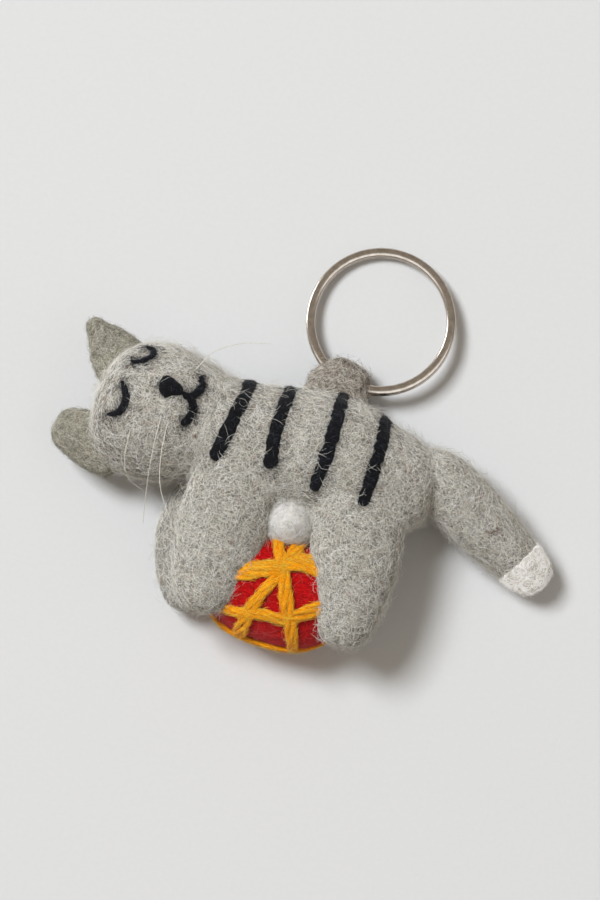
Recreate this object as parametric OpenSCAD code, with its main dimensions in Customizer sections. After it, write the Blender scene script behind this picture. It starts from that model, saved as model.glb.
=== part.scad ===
// Felted cat key ring: a needle-felted wool cat lying on its right side and hugging a ball of
// yarn, with a felt strap on its back that carries a split ring.
// Millimetres. +Z is up from the surface that the cat lies on, +X runs from the head to the
// tail, +Y from the paws to the back. The origin is the middle of the whole object's footprint.

/* [Split ring] */
// Outside diameter of the split ring
ring_od = 25.7; // [25:0.1:26]
// Radial width of the ring's wire
wire_w = 1.6; // [1.4:0.1:1.8]
// Thickness of one turn of the wire along the ring's axis
wire_t = 0.95; // [0.8:0.05:1.05]
// Tilt of the ring from the surface that its far side rests on, in degrees
ring_tilt = 9; // [8:0.5:10]

/* [Body] */
// Height of the body from back to belly
body_depth = 22; // [21:0.5:23]
// Thickness of the body from flank to flank
body_thick = 19; // [18.5:0.5:20]
// Thickness of the dyed wool coat over the core wool
coat_t = 2.2; // [1.5:0.1:2.8]

/* [Head] */
// Width of the head across the cheeks
head_w = 23; // [22:0.5:24]
// Height of the head from chin to crown
head_h = 20.2; // [19.4:0.4:21]
// Depth of the head from the face to the back of the head
head_t = 19.8; // [19:0.4:21]

/* [Ball] */
// Width of the wool ball along the cat
ball_w = 22.8; // [22:0.2:23.6]
// Height of the wool ball
ball_h = 19; // [18.4:0.2:19.6]
// Thickness of the wool ball
ball_t = 16.4; // [15.6:0.2:17]
// Diameter of the yarn wound on the ball
yarn_d = 1.3; // [1:0.1:1.5]

/* [Trim] */
// Width of a black stripe
stripe_w = 2.3; // [2:0.1:2.5]
// How far the black wool stands proud of the coat
inlay_t = 0.35; // [0.2:0.05:0.5]
// Diameter of a whisker
whisker_d = 0.22; // [0.2:0.02:0.3]

/* [Joints] */
// Gap between parts that move on each other
play = 0.3; // [0.25:0.05:0.35]

/* [Hidden] */

// The forms below are laid out about the cat's waist; this moves the footprint's middle to the origin.
frame_shift = [-3.99, -4.165, 0];
sides = 20;
rings = 14;

mid_z = body_thick / 2;
deep = body_depth / 22;

// A soft form is a list of stations [x, y, z, half width, half thickness] along its middle line.
// Its sections stand on edge across that line, and its size falls away at both ends by the
// superellipse rule: 2 gives an ellipsoid, and a larger power a blunter end.
body_line = [[-23.5, 2.6, mid_z, 11 * deep, 8.8], [-9, 1.2, mid_z, 10 * deep, mid_z - 0.03],
    [5, 1.8, mid_z, 11 * deep, mid_z - 0.03], [14, 1.2, mid_z, 10.6 * deep, mid_z - 0.03],
    [24.8, 2.0, mid_z, 8.8 * deep, 8.8]];
body_power = 3;

head_mid = [-24.2, 1.2, head_t / 2 + 0.1];
head_line = [for (side = [-1, 0, 1])
    [head_mid[0] + side * head_h / 2, head_mid[1], head_mid[2], head_w / 2, head_t / 2]];
head_power = 2.1;

left_ear_line = [[-29.4, 5.2, 10, 5.6, 3.2], [-34.2, 9.0, 9.6, 4.2, 2.3], [-38.0, 11.9, 9.0, 1.8, 1.4],
    [-39.3, 12.9, 8.8, 1.2, 1.1]];
right_ear_line = [[-27.2, -7.2, 8.4, 5.6, 3.6], [-32.6, -6.6, 8.0, 4.9, 3.0],
    [-37.3, -5.9, 7.4, 3.8, 2.3], [-40.0, -5.4, 7.0, 2.8, 1.7]];
ear_power = 3.4;

leg_gap = 0.3;
floor_gap = 0.1;
leg_t = (body_thick - leg_gap) / 4;
left_leg_z = body_thick - leg_t;
right_leg_z = leg_t + floor_gap;
left_front_line = [[-9, 2, 12.6, 5.6, leg_t], [-8.0, -8, left_leg_z, 7.2, leg_t],
    [-7.6, -17, left_leg_z, 7.6, leg_t], [-7.6, -28.8, left_leg_z, 6.0, leg_t]];
right_front_line = [[-9.5, 2, 6.4, 5.6, leg_t], [-10.2, -8, right_leg_z, 6.6, leg_t],
    [-11.4, -18.5, right_leg_z, 7.0, leg_t], [-9.0, -29.8, right_leg_z, 5.8, leg_t]];
left_hind_line = [[12, 2, 12.6, 7, leg_t], [14.1, -7, left_leg_z, 7.8, leg_t],
    [15.9, -16.5, left_leg_z, 6.9, leg_t], [17.2, -27.6, left_leg_z, 5.5, leg_t]];
right_hind_line = [[12.4, 2, 6.4, 7, leg_t], [14.0, -7, right_leg_z, 7.6, leg_t],
    [15.2, -16.5, right_leg_z, 6.3, leg_t], [16.2, -27.8, right_leg_z, 4.9, leg_t]];
leg_power = 2.8;

ball_mid = [4.2, -21.2, 9.4];
ball_line = [for (side = [-1, 0, 1])
    [ball_mid[0] + side * ball_w / 2, ball_mid[1], ball_mid[2], ball_h / 2, ball_t / 2]];
ball_power = 2.6;
belly_line = [[2.7, -6.2, mid_z, 4.2, 7.4], [2.8, -10, mid_z, 5.3, 7.8], [2.9, -14.2, mid_z, 5.8, 7.4]];

// The tail bends about an upright line through its root, where a round hub sits in a notch
// that opens towards the tail.
tail_pivot = [22.4, 5.2, 9.2];
tail_heading = -26;
hub_r = 4.9;
hub_t = 9.8;
tail_line = [[20.4, 5.8, 9.3, 4.2, 4.2], [26, 3.9, 8.8, 5.2, 5.0], [32.5, 0.2, 7.4, 5.3, 5.1],
    [39.5, -3.6, 5.6, 4.7, 4.6], [47.4, -7.9, 4.3, 4.1, 4.1]];
tail_power = 3.6;
tail_swing = [-10, 14];
tip_cut = [42.9, -6.2];
tip_dir = -25;

// Black wool marks, each a middle line in plan.
stripes = [[[-9.9, 14], [-10.4, 8], [-11.2, 3], [-12.3, -4]],
    [[-3.2, 15], [-3.6, 8], [-3.6, 3], [-2.8, -2.6]],
    [[5.3, 16], [5.6, 8], [5.6, 2], [5.2, -3.9]],
    [[13.1, 15], [13.8, 8], [13.9, 2], [13.8, -4]]];
left_eye_line = [[-29.2, 11.1], [-27.6, 11.0], [-27.2, 10.2], [-28.4, 8.8], [-30.4, 8.2]];
right_eye_line = [[-30.7, 4.4], [-29.7, 3.2], [-29.2, 1.5], [-29.5, -0.6], [-31.6, -1.6]];
mouth_up = [[-20.2, 5.6], [-19.2, 5.2], [-18.2, 6.4], [-17.8, 7.6], [-18.6, 9.3]];
mouth_down = [[-20.2, 5.6], [-19.2, 5.2], [-18.1, 4.0], [-17.9, 2.6], [-19.3, 0.5]];
eye_w = 1.1;
mouth_w = 1.4;
nose_mid = [-22.9, 5.9];
nose_r = 1.1;
nose_rise = 0.9;

// Whiskers leave the muzzle beside the nose and run free.
right_whisker_lines = [[[-22.3, -1, 19.2], [-22.1, -6, 17.9], [-21.5, -11, 15.2], [-20.5, -17.5, 12.6]],
    [[-20.4, 0, 19.0], [-20.4, -5, 18.6], [-19.4, -10.5, 19.8], [-16.1, -14.6, 20.1]],
    [[-27, -3, 18.8], [-26.6, -7.6, 17.0], [-25.2, -10.8, 13.6], [-22.2, -12.2, 11.4]]];
left_whisker_lines = [[[-19.6, 9.8, 16.0], [-17.6, 13.6, 15.2], [-13.5, 16.4, 15.4], [-8.6, 17.8, 15.2]]];

// The split ring: its middle, its lowest side's direction in plan, and where the strap holds it.
coil_gap = 0.06;
ring_t = 2 * wire_t + coil_gap;
ring_r = (ring_od - wire_w) / 2;
ring_low = 122;
strap_at = 133;
ring_mid = [7.96, 27.18, ring_od / 2 * sin(ring_tilt) + ring_t / 2 * cos(ring_tilt)];
jog_span = 16;

// The strap bends about a line along the cat's back at its foot.
strap_len = 9.6;
strap_head_r = 3.2;
strap_side_r = 5.5;
eye_r = sqrt(pow(wire_w / 2, 2) + pow(ring_t / 2, 2)) + play;
hinge = [4.1, 12.9, 7.4];
hinge_turn = -12.7;
foot_r = 1.9;
neck_t = 2.8;
strap_mid = ring_place(ring_r * [cos(strap_at), sin(strap_at), 0]);
root_len = 7;
root_dip = 15;

// ---- geometry helpers ----

// Catmull-Rom curve through the points p at t from 0 to 1.
function spline(p, t) =
    let (n = len(p) - 1, s = min(t * n, n - 1e-6), i = floor(s), f = s - i,
        a = p[max(i - 1, 0)], b = p[i], c = p[i + 1], d = p[min(i + 2, n)])
    (2 * b + (c - a) * f + (2 * a - 5 * b + 4 * c - d) * f * f + (3 * b - a - 3 * c + d) * f * f * f) / 2;

function unit(v) = v / norm(v);
function heading(p, t) =
    let (d = spline(p, min(t + 0.02, 1)) - spline(p, max(t - 0.02, 0))) unit([d[0], d[1], 0]);
function blunt(t, power) = pow(max(0, 1 - pow(abs(2 * t - 1), power)), 1 / power);

// The stations pushed out by g all round, ends included.
function grown(line, g) =
    let (n = len(line) - 1, a = unit([for (k = [0:2]) line[0][k] - line[1][k]]),
        b = unit([for (k = [0:2]) line[n][k] - line[n - 1][k]]))
    [for (i = [0:n]) let (s = line[i], shift = i == 0 ? g * a : i == n ? g * b : [0, 0, 0])
        [s[0] + shift[0], s[1] + shift[1], s[2] + shift[2], s[3] + g, s[4] + g]];

module soft_form(line, power, g = 0) {
    p = grown(line, g);
    ends = [spline(p, 0), spline(p, 1)];
    loops = [for (i = [1:rings - 1]) let (t = (1 - cos(180 * i / rings)) / 2, s = spline(p, t),
            d = heading(p, t), f = blunt(t, power))
        for (j = [0:sides - 1]) let (q = 360 * j / sides)
            [s[0] - d[1] * s[3] * f * cos(q), s[1] + d[0] * s[3] * f * cos(q), s[2] + s[4] * f * sin(q)]];
    points = concat([[for (k = [0:2]) ends[0][k]]], loops, [[for (k = [0:2]) ends[1][k]]]);
    last = len(points) - 1;
    faces = concat(
        [for (j = [0:sides - 1]) [0, 1 + j, 1 + (j + 1) % sides]],
        [for (i = [0:rings - 3], j = [0:sides - 1])
            let (a = 1 + i * sides + j, b = 1 + i * sides + (j + 1) % sides) [a, a + sides, b + sides]],
        [for (i = [0:rings - 3], j = [0:sides - 1])
            let (a = 1 + i * sides + j, b = 1 + i * sides + (j + 1) % sides) [a, b + sides, b]],
        [for (j = [0:sides - 1]) [last, last - sides + (j + 1) % sides, last - sides + j]]);
    polyhedron(points, faces);
}

// A round tube along the points of route, closed into a loop or with two flat ends.
module tube(route, r, n, closed = false) {
    m = len(route);
    points = [for (i = [0:m - 1])
        let (before = route[closed ? (i + m - 1) % m : max(i - 1, 0)],
            after = route[closed ? (i + 1) % m : min(i + 1, m - 1)],
            d = unit(after - before), u = unit(cross(d, abs(d[2]) < 0.8 ? [0, 0, 1] : [1, 0, 0])), v = cross(d, u))
        for (j = [0:n - 1]) route[i] + r * (cos(360 * j / n) * u + sin(360 * j / n) * v)];
    spans = closed ? m - 1 : m - 2;
    walls = [for (i = [0:spans], j = [0:n - 1], half = [0, 1])
        let (a = i * n + j, b = i * n + (j + 1) % n, c = ((i + 1) % m) * n + (j + 1) % n, d = ((i + 1) % m) * n + j)
        half == 0 ? [a, c, b] : [a, d, c]];
    caps = closed ? [] : [[for (j = [0:n - 1]) j], [for (j = [n - 1:-1:0]) (m - 1) * n + j]];
    polyhedron(points, concat(walls, caps));
}

// A flat ribbon about a middle line in plan, narrowing to share of its width at both ends.
module ribbon(line, width, share = 1, steps = 10) {
    edge = [for (side = [1, -1]) [for (i = [0:steps])
        let (t = side > 0 ? i / steps : 1 - i / steps, d = heading([for (q = line) [q[0], q[1], 0]], t),
            w = width / 2 * (share + (1 - share) * sqrt(1 - pow(2 * t - 1, 2))))
        spline(line, t) + side * w * [-d[1], d[0]]]];
    polygon(concat(edge[0], edge[1]));
}

module placed() { translate(frame_shift) children(); }

// ---- the shapes that neighbours are cut by ----

module body_shape(g = 0) { soft_form(body_line, body_power, g); }
module head_shape(g = 0) { soft_form(head_line, head_power, g); }
module ball_shape(g = 0) { soft_form(ball_line, ball_power, g); }
module left_legs(g = 0) {
    soft_form(left_front_line, leg_power, g);
    soft_form(left_hind_line, leg_power, g);
}
module right_legs(g = 0) {
    soft_form(right_front_line, leg_power, g);
    soft_form(right_hind_line, leg_power, g);
}

module tail_shape() {
    translate(tail_pivot) cylinder(h = hub_t, r = hub_r, center = true, $fn = 64);
    difference() {
        soft_form(tail_line, tail_power);
        translate(tail_pivot) rotate([0, 0, tail_heading]) translate([-12, -10, -12]) cube([12, 20, 24]);
    }
}
module tail_room() {
    wall = hub_r + play + 0.5;
    mouth = 12;
    translate(tail_pivot - [0, 0, hub_t / 2 + play]) linear_extrude(hub_t + 2 * play)
        union() {
            circle(hub_r + play, $fn = 64);
            rotate(tail_heading) polygon([[0, wall - 0.5], [mouth, wall + mouth * tan(tail_swing[1])],
                [mouth, -wall + mouth * tan(tail_swing[0])], [0, -wall + 0.5]]);
        }
}

// ---- split ring and strap ----

// Takes a point in the ring's own frame, with Z along its axis, to the cat's frame.
function ring_place(p) =
    let (x = p[0] * cos(ring_tilt) + p[2] * sin(ring_tilt), z = p[2] * cos(ring_tilt) - p[0] * sin(ring_tilt))
    ring_mid + [x * cos(ring_low) - p[1] * sin(ring_low), x * sin(ring_low) + p[1] * cos(ring_low), z];
module in_ring_frame() { translate(ring_mid) rotate([0, 0, ring_low]) rotate([0, ring_tilt, 0]) children(); }

module on_hinge() { translate(hinge) rotate([0, 0, hinge_turn]) rotate([0, 90, 0]) children(); }

// The wire's section: flat faces with rounded edges.
function wire_section(shrink = 0) =
    let (w = wire_w / 2 - shrink, t = wire_t / 2 - shrink, r = 0.3)
    [for (c = [[1, 1], [-1, 1], [-1, -1], [1, -1]], k = [0:3])
        let (start = c == [1, 1] ? 0 : c == [-1, 1] ? 90 : c == [-1, -1] ? 180 : 270, q = start + 30 * k)
        [c[0] * (w - r) + r * cos(q), c[1] * (t - r) + r * sin(q)]];

module coil(level, from_angle, span) {
    translate([0, 0, level]) rotate([0, 0, from_angle])
        rotate_extrude(angle = span, $fn = 90) translate([ring_r, 0]) polygon(wire_section());
}

// The slanting stretch of wire where one turn passes into the other.
module jog(level) {
    section = wire_section(0.02);
    n = len(section);
    steps = 8;
    points = [for (i = [0:steps]) let (q = strap_at + (i / steps - 0.5) * (jog_span + 2),
            z = level * cos(180 * i / steps))
        for (s = section) [(ring_r + s[0]) * cos(q), (ring_r + s[0]) * sin(q), z + s[1]]];
    faces = concat([for (i = [0:steps - 1], j = [0:n - 1])
            let (a = i * n + j, b = i * n + (j + 1) % n) [a, a + n, b + n, b]],
        [[for (j = [n - 1:-1:0]) j], [for (j = [0:n - 1]) steps * n + j]]);
    polyhedron(points, faces);
}

// The strap is a rounded head around the wire, a foot along the bend line and a neck between
// them, all trimmed to a dome in plan.
module strap_shape() {
    lift = strap_mid - hinge;
    intersection() {
        union() {
            in_ring_frame() rotate([0, 0, strap_at]) translate([ring_r, 0, 0]) rotate([90, 0, 0])
                cylinder(h = strap_len, r = strap_head_r, center = true, $fn = 48);
            on_hinge() cylinder(h = strap_len, r = foot_r, center = true, $fn = 48);
            translate((strap_mid + hinge) / 2) rotate([0, 0, hinge_turn])
                rotate([atan2(lift[2], norm([lift[0], lift[1]])), 0, 0])
                    cube([strap_len - 0.4, norm(lift), neck_t], center = true);
        }
        translate([strap_mid[0] - 0.1, strap_mid[1] - 1.8, -1]) cylinder(h = body_thick, r = strap_side_r, $fn = 64);
    }
}
module eye_tunnel() {
    in_ring_frame() rotate([0, 0, strap_at - 40])
        rotate_extrude(angle = 80, $fn = 90) translate([ring_r, 0]) circle(eye_r, $fn = 32);
}
module strap_room(g = play) {
    on_hinge() cylinder(h = strap_len + 2 * g, r = foot_r + g, center = true, $fn = 48);
}
module root_shape() {
    intersection() {
        translate(hinge) rotate([0, 0, hinge_turn]) rotate([90 - root_dip, 0, 0])
            cylinder(h = root_len, r1 = 3.2, r2 = 2.2, $fn = 40);
        body_shape();
    }
}

// ---- nodes ----

module body_core() {
    color("ivory") placed() difference() {
        body_shape(-coat_t);
        tail_room();
        strap_room();
        root_shape();
    }
}
module body_coat() {
    color("darkgray") placed() difference() {
        body_shape();
        body_shape(-coat_t);
        tail_room();
        strap_room();
        root_shape();
    }
}
module head_core() {
    color("ivory") placed() difference() {
        head_shape(-coat_t);
        body_shape();
    }
}
module head_coat() {
    color("darkgray") placed() difference() {
        head_shape();
        head_shape(-coat_t);
        body_shape();
    }
}
module ear(line) {
    color("darkgray") placed() difference() {
        soft_form(line, ear_power);
        head_shape();
    }
}
module left_ear() { ear(left_ear_line); }
module right_ear() { ear(right_ear_line); }

// Black wool laid on the face: a flat mark thrown onto the front of the head.
module face_mark(rise = inlay_t) {
    color("black") placed() difference() {
        intersection() {
            head_shape(rise);
            translate([0, 0, head_mid[2]]) linear_extrude(head_t) children();
        }
        head_shape();
        body_shape();
    }
}
module left_eye() { face_mark() ribbon(left_eye_line, eye_w, 0.45); }
module right_eye() { face_mark() ribbon(right_eye_line, eye_w, 0.45); }
module nose_plan() {
    hull() {
        translate(nose_mid + [-0.6, 0.9]) circle(nose_r, $fn = 24);
        translate(nose_mid + [-0.7, -0.9]) circle(nose_r, $fn = 24);
        translate(nose_mid + [2.0, 0]) circle(nose_r * 0.6, $fn = 24);
    }
}
module nose() { face_mark(nose_rise) nose_plan(); }
module mouth() {
    face_mark() difference() {
        union() {
            ribbon(mouth_up, mouth_w, 0.7);
            ribbon(mouth_down, mouth_w, 0.7);
        }
        nose_plan();
    }
}
module whiskers(lines) {
    color("white") placed() difference() {
        for (line = lines) tube([for (i = [0:8]) spline(line, i / 8)], whisker_d / 2, 6);
        head_shape();
    }
}
module left_whiskers() { whiskers(left_whisker_lines); }
module right_whiskers() { whiskers(right_whisker_lines); }

module belly_patch() {
    color("white") placed() difference() {
        soft_form(belly_line, 2.2);
        body_shape();
        ball_shape(yarn_d);
        left_legs();
        right_legs();
    }
}
module leg(line) {
    color("darkgray") placed() difference() {
        soft_form(line, leg_power);
        body_shape();
        ball_shape(yarn_d);
    }
}
module left_front_leg() { leg(left_front_line); }
module right_front_leg() { leg(right_front_line); }
module left_hind_leg() { leg(left_hind_line); }
module right_hind_leg() { leg(right_hind_line); }

module stripe(line) {
    color("black") placed() difference() {
        intersection() {
            body_shape(inlay_t);
            translate([0, 0, -1]) linear_extrude(body_thick + 2) ribbon(line, stripe_w, 0.8);
        }
        body_shape();
        left_legs();
        right_legs();
        strap_room(2 * play);
        root_shape();
        translate([-50, -50, -10]) cube([100, 100, 10]);
    }
}
module stripe_1() { stripe(stripes[0]); }
module stripe_2() { stripe(stripes[1]); }
module stripe_3() { stripe(stripes[2]); }
module stripe_4() { stripe(stripes[3]); }

module tip_side() { translate([tip_cut[0], tip_cut[1], -5]) rotate([0, 0, tip_dir]) translate([0, -15, 0]) cube([20, 30, 25]); }
module tail() {
    color("darkgray") placed() difference() {
        tail_shape();
        tip_side();
    }
}
module tail_tip() {
    color("white") placed() intersection() {
        tail_shape();
        tip_side();
    }
}

module wool_ball() { color("firebrick") placed() ball_shape(); }

yarn_up = yarn_d * 0.3;
strand_steps = 26;

// How far along d from o the swollen ball's surface is, found by halving the span [low, high].
function reach(o, d, half, low, high, step = 0) =
    let (s = (low + high) / 2, p = o + s * d,
        inside = pow(abs(p[0] / half[0]), ball_power)
            + pow(pow(p[1] / half[1], 2) + pow(p[2] / half[2], 2), ball_power / 2) < 1)
    step == 18 ? s : inside ? reach(o, d, half, s, high, step + 1) : reach(o, d, half, low, s, step + 1);

// A strand of yarn lies where a plane cuts the ball: the plane is given by a point in plan on the
// near face, its heading in plan and its lean about that heading.
function strand(at, turn, lean) =
    let (a = ball_w / 2 + yarn_up, b = ball_h / 2 + yarn_up, c = ball_t / 2 + yarn_up,
        u = [cos(turn), sin(turn), 0], w = [-sin(turn) * sin(lean), cos(turn) * sin(lean), cos(lean)],
        o = [at[0] - ball_mid[0], at[1] - ball_mid[1], 0])
    [for (i = [0:strand_steps - 1]) let (q = i * 360 / strand_steps, d = cos(q) * u + sin(q) * w,
            s = reach(o, d, [a, b, c], 0, 2 * a))
        ball_mid + o + s * d];
strands = [strand([3.7, -17.6], 75.5, 0), strand([3.7, -17.6], -66, 0), strand([3.7, -18.4], 8, 4),
    strand([3.7, -16.9], 4, 4), strand([4, -25.3], 16.7, -8), strand([4.2, -21.2], 0, 86)];
module ball_yarn() {
    color("gold") placed() for (s = strands) tube(s, yarn_d / 2, 6, true);
}

module loop_root() {
    color("darkgray") placed() difference() {
        root_shape();
        strap_room();
        tail_room();
    }
}
module hanging_loop() {
    color("darkgray") placed() difference() {
        strap_shape();
        eye_tunnel();
    }
}
module split_ring() {
    color("silver") placed() in_ring_frame() {
        level = (wire_t + coil_gap) / 2;
        coil(level, strap_at + jog_span / 2 - 360, 360 - jog_span);
        coil(-level, strap_at + jog_span / 2, 360 - jog_span);
        jog(level);
    }
}

body_core();
body_coat();
head_core();
head_coat();
left_ear();
right_ear();
left_eye();
right_eye();
nose();
mouth();
left_whiskers();
right_whiskers();
belly_patch();
left_front_leg();
right_front_leg();
left_hind_leg();
right_hind_leg();
stripe_1();
stripe_2();
stripe_3();
stripe_4();
tail();
tail_tip();
wool_ball();
ball_yarn();
loop_root();
hanging_loop();
split_ring();
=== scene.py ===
"""Felted cat key ring: felt bodies, loose wool, yarn, black wool marks, whiskers, split ring and stage.

Forms are worked out in millimetres from the cat's waist, as the part's own layout is, and
make_mesh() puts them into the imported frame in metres.
"""

import bpy
import numpy as np
from bpy.props import FloatProperty, FloatVectorProperty, PointerProperty
from bpy.types import Operator, Panel, PropertyGroup
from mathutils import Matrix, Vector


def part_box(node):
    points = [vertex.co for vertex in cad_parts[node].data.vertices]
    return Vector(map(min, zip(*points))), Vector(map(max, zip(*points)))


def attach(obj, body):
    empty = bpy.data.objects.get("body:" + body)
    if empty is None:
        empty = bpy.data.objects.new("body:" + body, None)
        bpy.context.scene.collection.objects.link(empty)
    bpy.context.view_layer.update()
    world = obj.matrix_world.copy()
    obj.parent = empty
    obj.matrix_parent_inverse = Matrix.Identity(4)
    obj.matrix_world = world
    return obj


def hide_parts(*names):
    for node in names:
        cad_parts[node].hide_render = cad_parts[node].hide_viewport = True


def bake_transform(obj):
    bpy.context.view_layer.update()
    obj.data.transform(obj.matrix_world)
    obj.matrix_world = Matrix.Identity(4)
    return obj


bl_info = {
    "name": "Felted cat key ring",
    "version": (1, 0, 0),
    "blender": (4, 5, 0),
    "location": "View3D > Sidebar > Felt",
    "description": "Builds a needle-felted cat, its wool ball and its key ring around the packed frame",
    "category": "Add Mesh",
}

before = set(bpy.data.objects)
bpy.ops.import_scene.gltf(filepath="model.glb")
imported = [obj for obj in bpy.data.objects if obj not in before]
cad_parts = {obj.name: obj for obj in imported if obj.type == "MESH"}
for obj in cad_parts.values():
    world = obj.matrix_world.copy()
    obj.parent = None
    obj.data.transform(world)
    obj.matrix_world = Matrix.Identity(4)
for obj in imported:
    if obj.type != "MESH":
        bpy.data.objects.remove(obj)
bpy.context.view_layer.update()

MM = 0.001
UP = np.array([0.0, 0.0, 1.0])
RING_CENTRE = (np.array(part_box("split_ring")[0]) + np.array(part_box("split_ring")[1])) / 2 / MM
RING_FROM_WAIST = np.array([7.96, 27.18, 0.0])
WAIST = np.array([RING_CENTRE[0], RING_CENTRE[1], 0.0]) - RING_FROM_WAIST

# Stations (x, y, z, half width, half thickness) of each soft body, and the bluntness of its ends.
FLOOR = 0.05
MID_Z = 9.5
BODY_T = 2 * MID_Z
LEG_T = 4.675
BODY_LINE = [
    (-23.5, 2.6, MID_Z, 11, 8.8),
    (-9, 1.2, MID_Z, 10, 9.47),
    (5, 1.8, MID_Z, 11, 9.47),
    (14, 1.2, MID_Z, 10.6, 9.47),
    (24.8, 2.0, MID_Z, 8.8, 8.8),
]
HEAD_LINE = [(-24.2 + side * 10.1, 1.2, 10.0, 11.5, 9.9) for side in (-1, 0, 1)]
LEFT_EAR_LINE = [
    (-29.4, 5.2, 10, 5.6, 3.2),
    (-34.2, 9.0, 9.6, 4.2, 2.3),
    (-38.0, 11.9, 9.0, 1.8, 1.4),
    (-39.3, 12.9, 8.8, 1.2, 1.1),
]
RIGHT_EAR_LINE = [
    (-27.2, -7.2, 8.4, 5.6, 3.6),
    (-32.6, -6.6, 8.0, 4.9, 3.0),
    (-37.3, -5.9, 7.4, 3.8, 2.3),
    (-40.0, -5.4, 7.0, 2.8, 1.7),
]
LEFT_Z = BODY_T - LEG_T
RIGHT_Z = LEG_T + 0.1
LEFT_FRONT_LINE = [
    (-9, 2, 12.6, 5.6, LEG_T),
    (-8.0, -8, LEFT_Z, 7.2, LEG_T),
    (-7.6, -17, LEFT_Z, 7.6, LEG_T),
    (-7.6, -28.8, LEFT_Z, 6.0, LEG_T),
]
RIGHT_FRONT_LINE = [
    (-9.5, 2, 6.4, 5.6, LEG_T),
    (-10.2, -8, RIGHT_Z, 6.6, LEG_T),
    (-11.4, -18.5, RIGHT_Z, 7.0, LEG_T),
    (-9.0, -29.8, RIGHT_Z, 5.8, LEG_T),
]
LEFT_HIND_LINE = [
    (12, 2, 12.6, 7, LEG_T),
    (14.1, -7, LEFT_Z, 7.8, LEG_T),
    (15.9, -16.5, LEFT_Z, 6.9, LEG_T),
    (17.2, -27.6, LEFT_Z, 5.5, LEG_T),
]
RIGHT_HIND_LINE = [
    (12.4, 2, 6.4, 7, LEG_T),
    (14.0, -7, RIGHT_Z, 7.6, LEG_T),
    (15.2, -16.5, RIGHT_Z, 6.3, LEG_T),
    (16.2, -27.8, RIGHT_Z, 4.9, LEG_T),
]
BELLY_LINE = [(2.7, -6.2, MID_Z, 4.2, 7.4), (2.8, -10, MID_Z, 5.3, 7.8), (2.9, -14.2, MID_Z, 5.8, 7.4)]
TAIL_LINE = [
    (20.4, 5.8, 9.3, 4.2, 4.2),
    (26, 3.9, 8.8, 5.2, 5.0),
    (32.5, 0.2, 7.4, 5.3, 5.1),
    (39.5, -3.6, 5.6, 4.7, 4.6),
    (47.4, -7.9, 4.3, 4.1, 4.1),
]
TIP_CUT = np.array([42.9, -6.2])
TIP_DIR = np.radians(-25)
TIP_SHARE = 0.74
BALL_MID = np.array([4.2, -21.2, 9.4])
BALL_HALF = np.array([11.4, 9.5, 8.2])
BALL_POWER = 2.6
BALL_LINE = [
    (BALL_MID[0] + side * BALL_HALF[0], BALL_MID[1], BALL_MID[2], BALL_HALF[1], BALL_HALF[2])
    for side in (-1, 0, 1)
]
LOOP_LINE = [
    (3.0, 9.6, 8.6, 5.4, 3.4),
    (4.1, 13.2, 7.0, 5.3, 3.0),
    (4.9, 16.2, 4.6, 4.7, 2.9),
    (5.3, 19.1, 3.5, 3.6, 2.3),
]

# Black wool marks: stripes as middle lines in plan down both flanks, and the face's marks on the near side.
STRIPES = [
    [(-9.9, 14), (-10.4, 8), (-11.2, 3), (-12.3, -4)],
    [(-3.2, 15), (-3.6, 8), (-3.6, 3), (-2.8, -2.6)],
    [(5.3, 16), (5.6, 8), (5.6, 2), (5.2, -3.9)],
    [(13.1, 15), (13.8, 8), (13.9, 2), (13.8, -4)],
]
LEFT_EYE = [(-28.9, 11.0), (-27.5, 11.0), (-27.2, 10.0), (-28.6, 8.6), (-30.4, 8.0)]
RIGHT_EYE = [(-30.8, 4.5), (-29.8, 3.1), (-29.2, 1.5), (-29.6, -0.5), (-31.5, -1.6)]
MOUTH_UP = [(-20.6, 5.6), (-19.3, 5.2), (-18.2, 6.3), (-17.7, 7.5), (-18.5, 9.1)]
MOUTH_DOWN = [(-19.5, 5.3), (-18.3, 4.2), (-17.9, 2.8), (-18.4, 1.4), (-19.2, 0.4)]
NOSE_LINE = [(-24.6, 5.7), (-23.6, 5.8), (-22.2, 5.8), (-20.4, 5.8)]

# Yarn on the ball: routes in plan across the near face, from rim to rim.
YARN_ROUTES = [
    [(6.4, -11.6), (5.2, -15.0), (4.0, -18.6), (2.2, -22.2), (0.9, -26.0), (0.3, -30.9)],
    [(1.4, -11.6), (2.7, -15.0), (4.1, -17.6), (6.2, -22.4), (8.4, -27.0), (9.9, -30.6)],
    [(-7.2, -22.0), (-1.4, -20.3), (3.3, -17.9), (7.0, -16.6), (15.0, -17.4)],
    [(-7.2, -21.0), (-1.0, -19.2), (3.6, -17.2), (7.0, -15.4), (14.6, -15.0)],
    [(-6.4, -26.6), (-1.0, -26.8), (3.6, -25.8), (7.4, -25.3), (15.4, -19.4)],
]

RIGHT_WHISKERS = [
    [(-22.7, 1.6, 19.5), (-22.5, -3.5, 20.0), (-21.9, -9.5, 18.2), (-20.6, -17.5, 13.6)],
    [(-21.4, 1.0, 19.4), (-20.9, -5, 19.9), (-19.4, -10.5, 20.2), (-16.3, -15.2, 20.2)],
    [(-27, -3, 19.2), (-26.6, -7.6, 17.8), (-25.2, -10.8, 14.6), (-22.2, -12.2, 11.8)],
]
LEFT_WHISKERS = [[(-19.6, 9.8, 16.0), (-17.6, 13.6, 15.2), (-13.5, 16.4, 15.4), (-8.6, 17.8, 15.2)]]

# Stray wool: body, felt body it lies on, and place.
SPECKS = [
    ("cat", "body", (-16.4, -1.3, 18.4)),
    ("cat", "left_front_leg", (-5.8, -8.5, 18.8)),
    ("tail", "tail", (32.0, 3.4, 11.0)),
    ("tail", "tail", (36.5, -1.0, 11.2)),
]

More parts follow.
